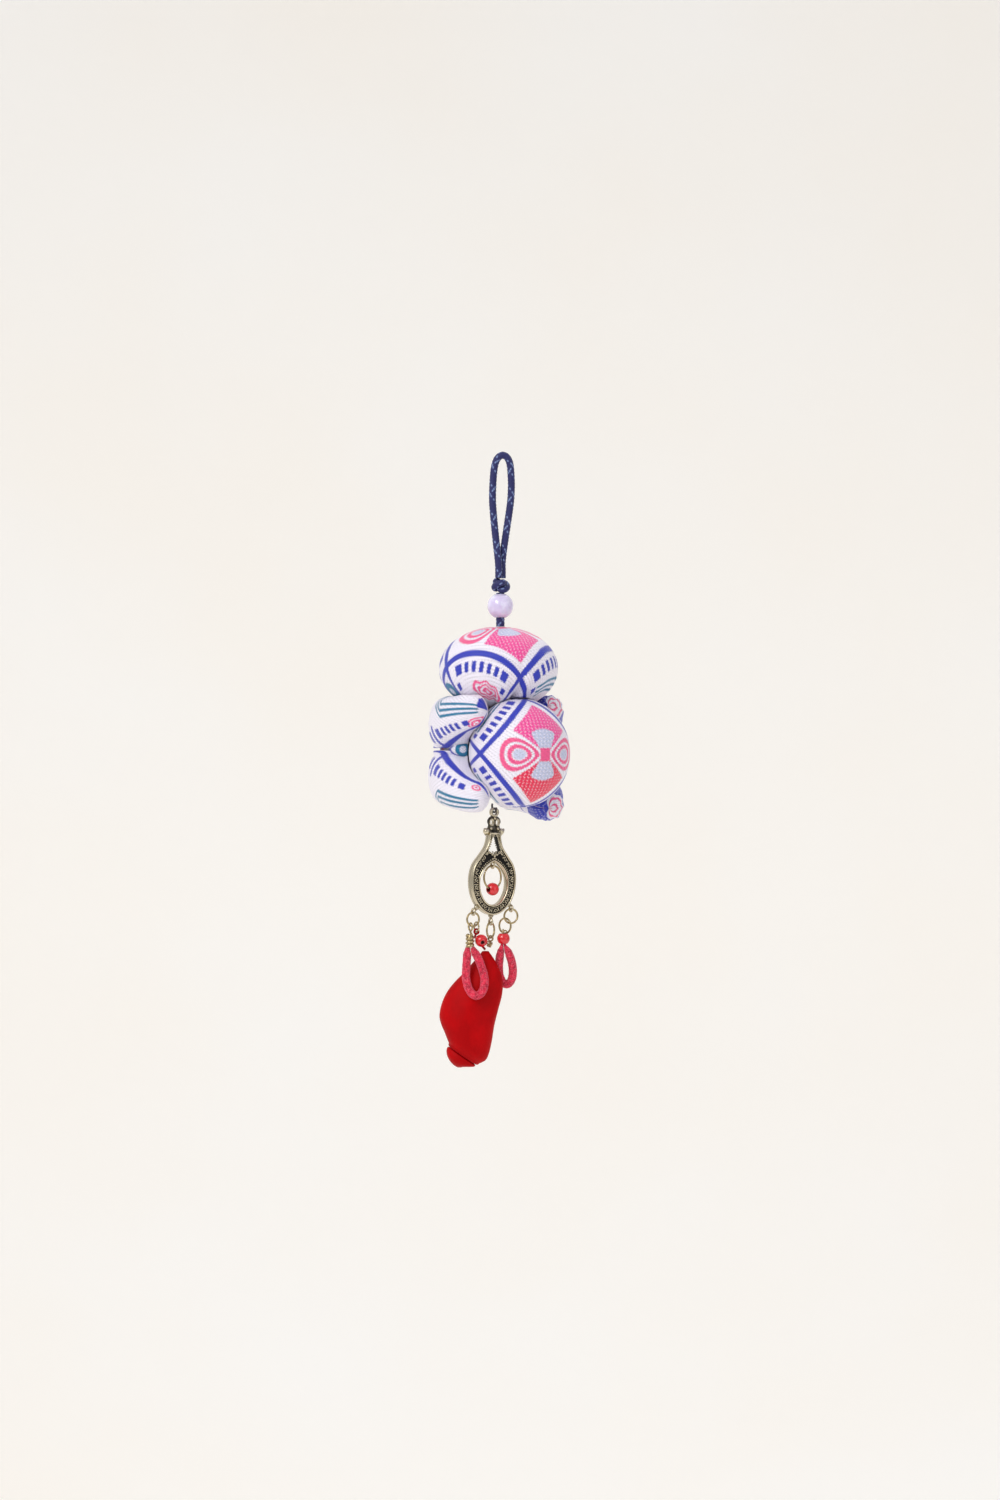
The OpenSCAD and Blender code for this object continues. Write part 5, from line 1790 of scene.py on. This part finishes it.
def suede_cord(name, node, route, ends, flat, finish):
    """A suede cord with its nap."""
    size = sizes()
    path = spline(route, 190)
    at = np.linspace(0, len(route) - 1, len(path))
    share = np.interp(at, ends[:, 0], ends[:, 1])
    rng = np.random.default_rng(5)
    lumps = rng.normal(size=(len(path) // 3 + 2, 32))
    rows = np.linspace(0, len(lumps) - 1, len(path))
    low = np.floor(rows).astype(int).clip(0, len(lumps) - 2)
    lumps = lumps[low] + (lumps[low + 1] - lumps[low]) * (rows - low)[:, None]
    rings = sweep(path, size.suede_d / 2 * share * 0.97, 32, (0, 1, 0), flat=flat,
                  relief=lambda angle, far: lumps * 0.022 * MM)
    points, faces = grid(rings)
    body = new_object(name, points, faces, finish)
    mesh = run_nodes(body, shared_material("nap"), {
        "Fibres": 1.6e7, "Length": size.nap, "Thickness": 0.000022, "Lean": 0.9, "Seed": 11,
        "Finish": finish})
    old = body.data
    body.data = mesh
    bpy.data.meshes.remove(old)
    body.data.shade_smooth()
    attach(body, "pendant")
    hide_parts(node)


class CHARM_OT_suede(bpy.types.Operator):
    """Make the two suede loops"""
    bl_idname = "charm.suede"
    bl_label = "Suede loops"

    def execute(self, context):
        finish = shared_material("suede")
        last = len(LEFT_ROUTE) - 1
        ends = np.array([[0, 0.5], [1, 1], [last - 1, 1], [last, 0.5]])
        suede_cord("left_suede", "suede_loop_left", LEFT_ROUTE, ends, 0.9, finish)
        suede_cord("right_suede", "suede_loop_right", RIGHT_ROUTE, RIGHT_ENDS, 0.92, finish)
        return {"FINISHED"}


def flower_rings(table, shrink, rings, sides):
    """Rings through the flower's sections, and their heights along the table."""
    rows = spline(table, rings)
    az = (np.arange(sides) * 2 * math.pi / sides)[None, :]
    mid = (rows[:, 1] + rows[:, 2])[:, None] / 2
    w = (rows[:, 2] - rows[:, 1])[:, None] / 2 - shrink
    h = FLOWER_T / 2 * rows[:, 3:4] - shrink
    x = mid + w * np.cos(az)
    return np.stack([x, FLOWER_Y + h * np.sin(az), rows[:, :1] + rows[:, 4:] * (x - mid)], -1)


class CHARM_OT_flower(bpy.types.Operator):
    """Make the flower's wrapped outer petal and the bud in it"""
    bl_idname = "charm.flower"
    bl_label = "Flower"

    def execute(self, context):
        finish = shared_material("flower")
        rows, sides, lip_rows = 96, 104, 5
        outer = flower_rings(WRAP_SECTIONS, 0, rows, sides)
        inner = flower_rings(WRAP_SECTIONS[2:], 1.0, 70, sides)[::-1]
        lip = []
        for k in range(1, lip_rows + 1):
            turn = math.pi * k / (lip_rows + 1)
            mix = (1 - math.cos(turn)) / 2
            lip.append(outer[-1] * (1 - mix) + inner[0] * mix - np.array([0.42, 0, 0.62]) * math.sin(turn))
        rings = np.concatenate([outer, np.array(lip), inner])
        low = np.linspace(0, 1, rows)[:, None]
        az = (np.arange(sides) * 2 * math.pi / sides)[None, :]
        ridge = np.exp(-((az - 1.5 * math.pi - 0.5 + low * 0.9) / 0.35) ** 2) * np.sin(math.pi * low)
        dent = np.exp(-((az - 1.5 * math.pi - 0.75) / 0.3) ** 2) * np.exp(-((low - 0.5) / 0.14) ** 2)
        rings[:rows, :, 1] += -0.28 * ridge + 0.42 * dent
        # The edge mark is painted shade along the wrap's lip where it overlaps the bud, darkest towards the
        # left.
        edge = np.zeros(rings.shape[:2])
        edge[rows - 1:rows + lip_rows + 3] = 0.25 + 0.55 * np.exp(-((az - math.pi) / 1.2) ** 2)
        points, faces = grid(rings)
        marks = {"edge": np.concatenate([edge.ravel(), [0, 0]])}
        wrap = new_object("outer_petal", points * MM, faces, finish, marks=marks)
        finish_piece(wrap, "pendant", "flower_red", "flower_wrap")
        points, faces = grid(flower_rings(BUD_SECTIONS, 0, 110, sides))
        bud = new_object("bud", points * MM, faces, finish, marks={"edge": np.zeros(len(points))})
        finish_piece(bud, "pendant", "flower_red", "flower_bud")
        return {"FINISHED"}


class CHARM_OT_stage(bpy.types.Operator):
    """Make the camera, the soft lights and the pale floor with its backdrop"""
    bl_idname = "charm.stage"
    bl_label = "Camera, light and floor"

    def execute(self, context):
        scene = context.scene
        camera = bpy.data.cameras.new("camera")
        camera.lens = 100
        camera.sensor_width = 36
        camera.sensor_fit = "AUTO"
        camera.clip_end = 10
        eye = bpy.data.objects.new("camera", camera)
        eye.location = (-0.0006, -1.282, -0.0895)
        eye.rotation_euler = (math.pi / 2, 0, 0)
        scene.collection.objects.link(eye)
        scene.camera = eye

        # Floor and backdrop seen from the side, in metres: flat, a quarter round, then upright.
        bend = np.radians(np.linspace(0, 90, 24))
        side = np.concatenate([[(-2.2, 0.0)],
                               np.stack([1.25 + 0.5 * np.sin(bend), 0.5 - 0.5 * np.cos(bend)], 1),
                               [(1.75, 2.9)]])
        points = [(x, y, z - 0.7) for x in (-2.6, 2.6) for y, z in side]
        n = len(side)
        faces = [(k, k + n, k + n + 1, k + 1) for k in range(n - 1)]
        new_object("floor", points, faces, shared_material("page"), turned=False)

        for name, place, aim, power, width, warm in (
                ("key", (-0.75, -1.05, 0.75), (0, 0, -0.09), 10.4, 0.7, (1.0, 0.995, 0.985)),
                ("fill", (0.95, -0.9, 0.1), (0, 0, -0.1), 2.6, 0.9, (0.97, 0.98, 1.0)),
                ("rim", (0.3, 0.5, 0.9), (0, 0, -0.1), 1.9, 0.6, (1.0, 1.0, 1.0))):
            light = bpy.data.lights.new(name, "AREA")
            light.energy = power
            light.size = width
            light.color = warm
            lamp = bpy.data.objects.new(name, light)
            lamp.location = place
            lamp.rotation_euler = (Vector(aim) - Vector(place)).to_track_quat("-Z", "Y").to_euler()
            scene.collection.objects.link(lamp)
        world = bpy.data.worlds.new("soft_room")
        world.use_nodes = True
        room = world.node_tree
        place = room.nodes.new("ShaderNodeTexCoord")
        x, y, z = split(room, place.outputs["Generated"])
        room.nodes["Background"].inputs[0].default_value = (1.0, 0.99, 0.99, 1)
        link_to(room, z * 0.46 + 0.47 + x * -0.14 + y * 0.09, room.nodes["Background"].inputs[1])
        scene.world = world
        scene.view_settings.view_transform = "Standard"
        return {"FINISHED"}


STEPS = (CHARM_OT_stage, CHARM_OT_cord, CHARM_OT_suede, CHARM_OT_stone_bead, CHARM_OT_head, CHARM_OT_ball,
         CHARM_OT_torso, CHARM_OT_limbs, CHARM_OT_hanger, CHARM_OT_drop, CHARM_OT_rings, CHARM_OT_beads,
         CHARM_OT_wires, CHARM_OT_flower)


class CHARM_PT_panel(bpy.types.Panel):
    bl_label = "Brocade bag charm"
    bl_idname = "CHARM_PT_panel"
    bl_space_type = "VIEW_3D"
    bl_region_type = "UI"
    bl_category = "Charm"

    def draw(self, context):
        for group in (context.scene.charm_sizes, context.scene.charm_colours):
            box = self.layout.box()
            for key in group.__annotations__:
                box.prop(group, key)
        for step in STEPS:
            self.layout.operator(step.bl_idname)


CLASSES = (CharmSizes, CharmColours, *STEPS, CHARM_PT_panel)


def register():
    for item in CLASSES:
        bpy.utils.register_class(item)
    bpy.types.Scene.charm_sizes = bpy.props.PointerProperty(type=CharmSizes)
    bpy.types.Scene.charm_colours = bpy.props.PointerProperty(type=CharmColours)


def unregister():
    del bpy.types.Scene.charm_sizes
    del bpy.types.Scene.charm_colours
    for item in reversed(CLASSES):
        bpy.utils.unregister_class(item)


def main():
    register()
    for key in ("weave", "patina"):
        shared_material(key)
    for step in STEPS:
        group, name = step.bl_idname.split(".")
        getattr(getattr(bpy.ops, group), name)()


if __name__ == "__main__":
    main()
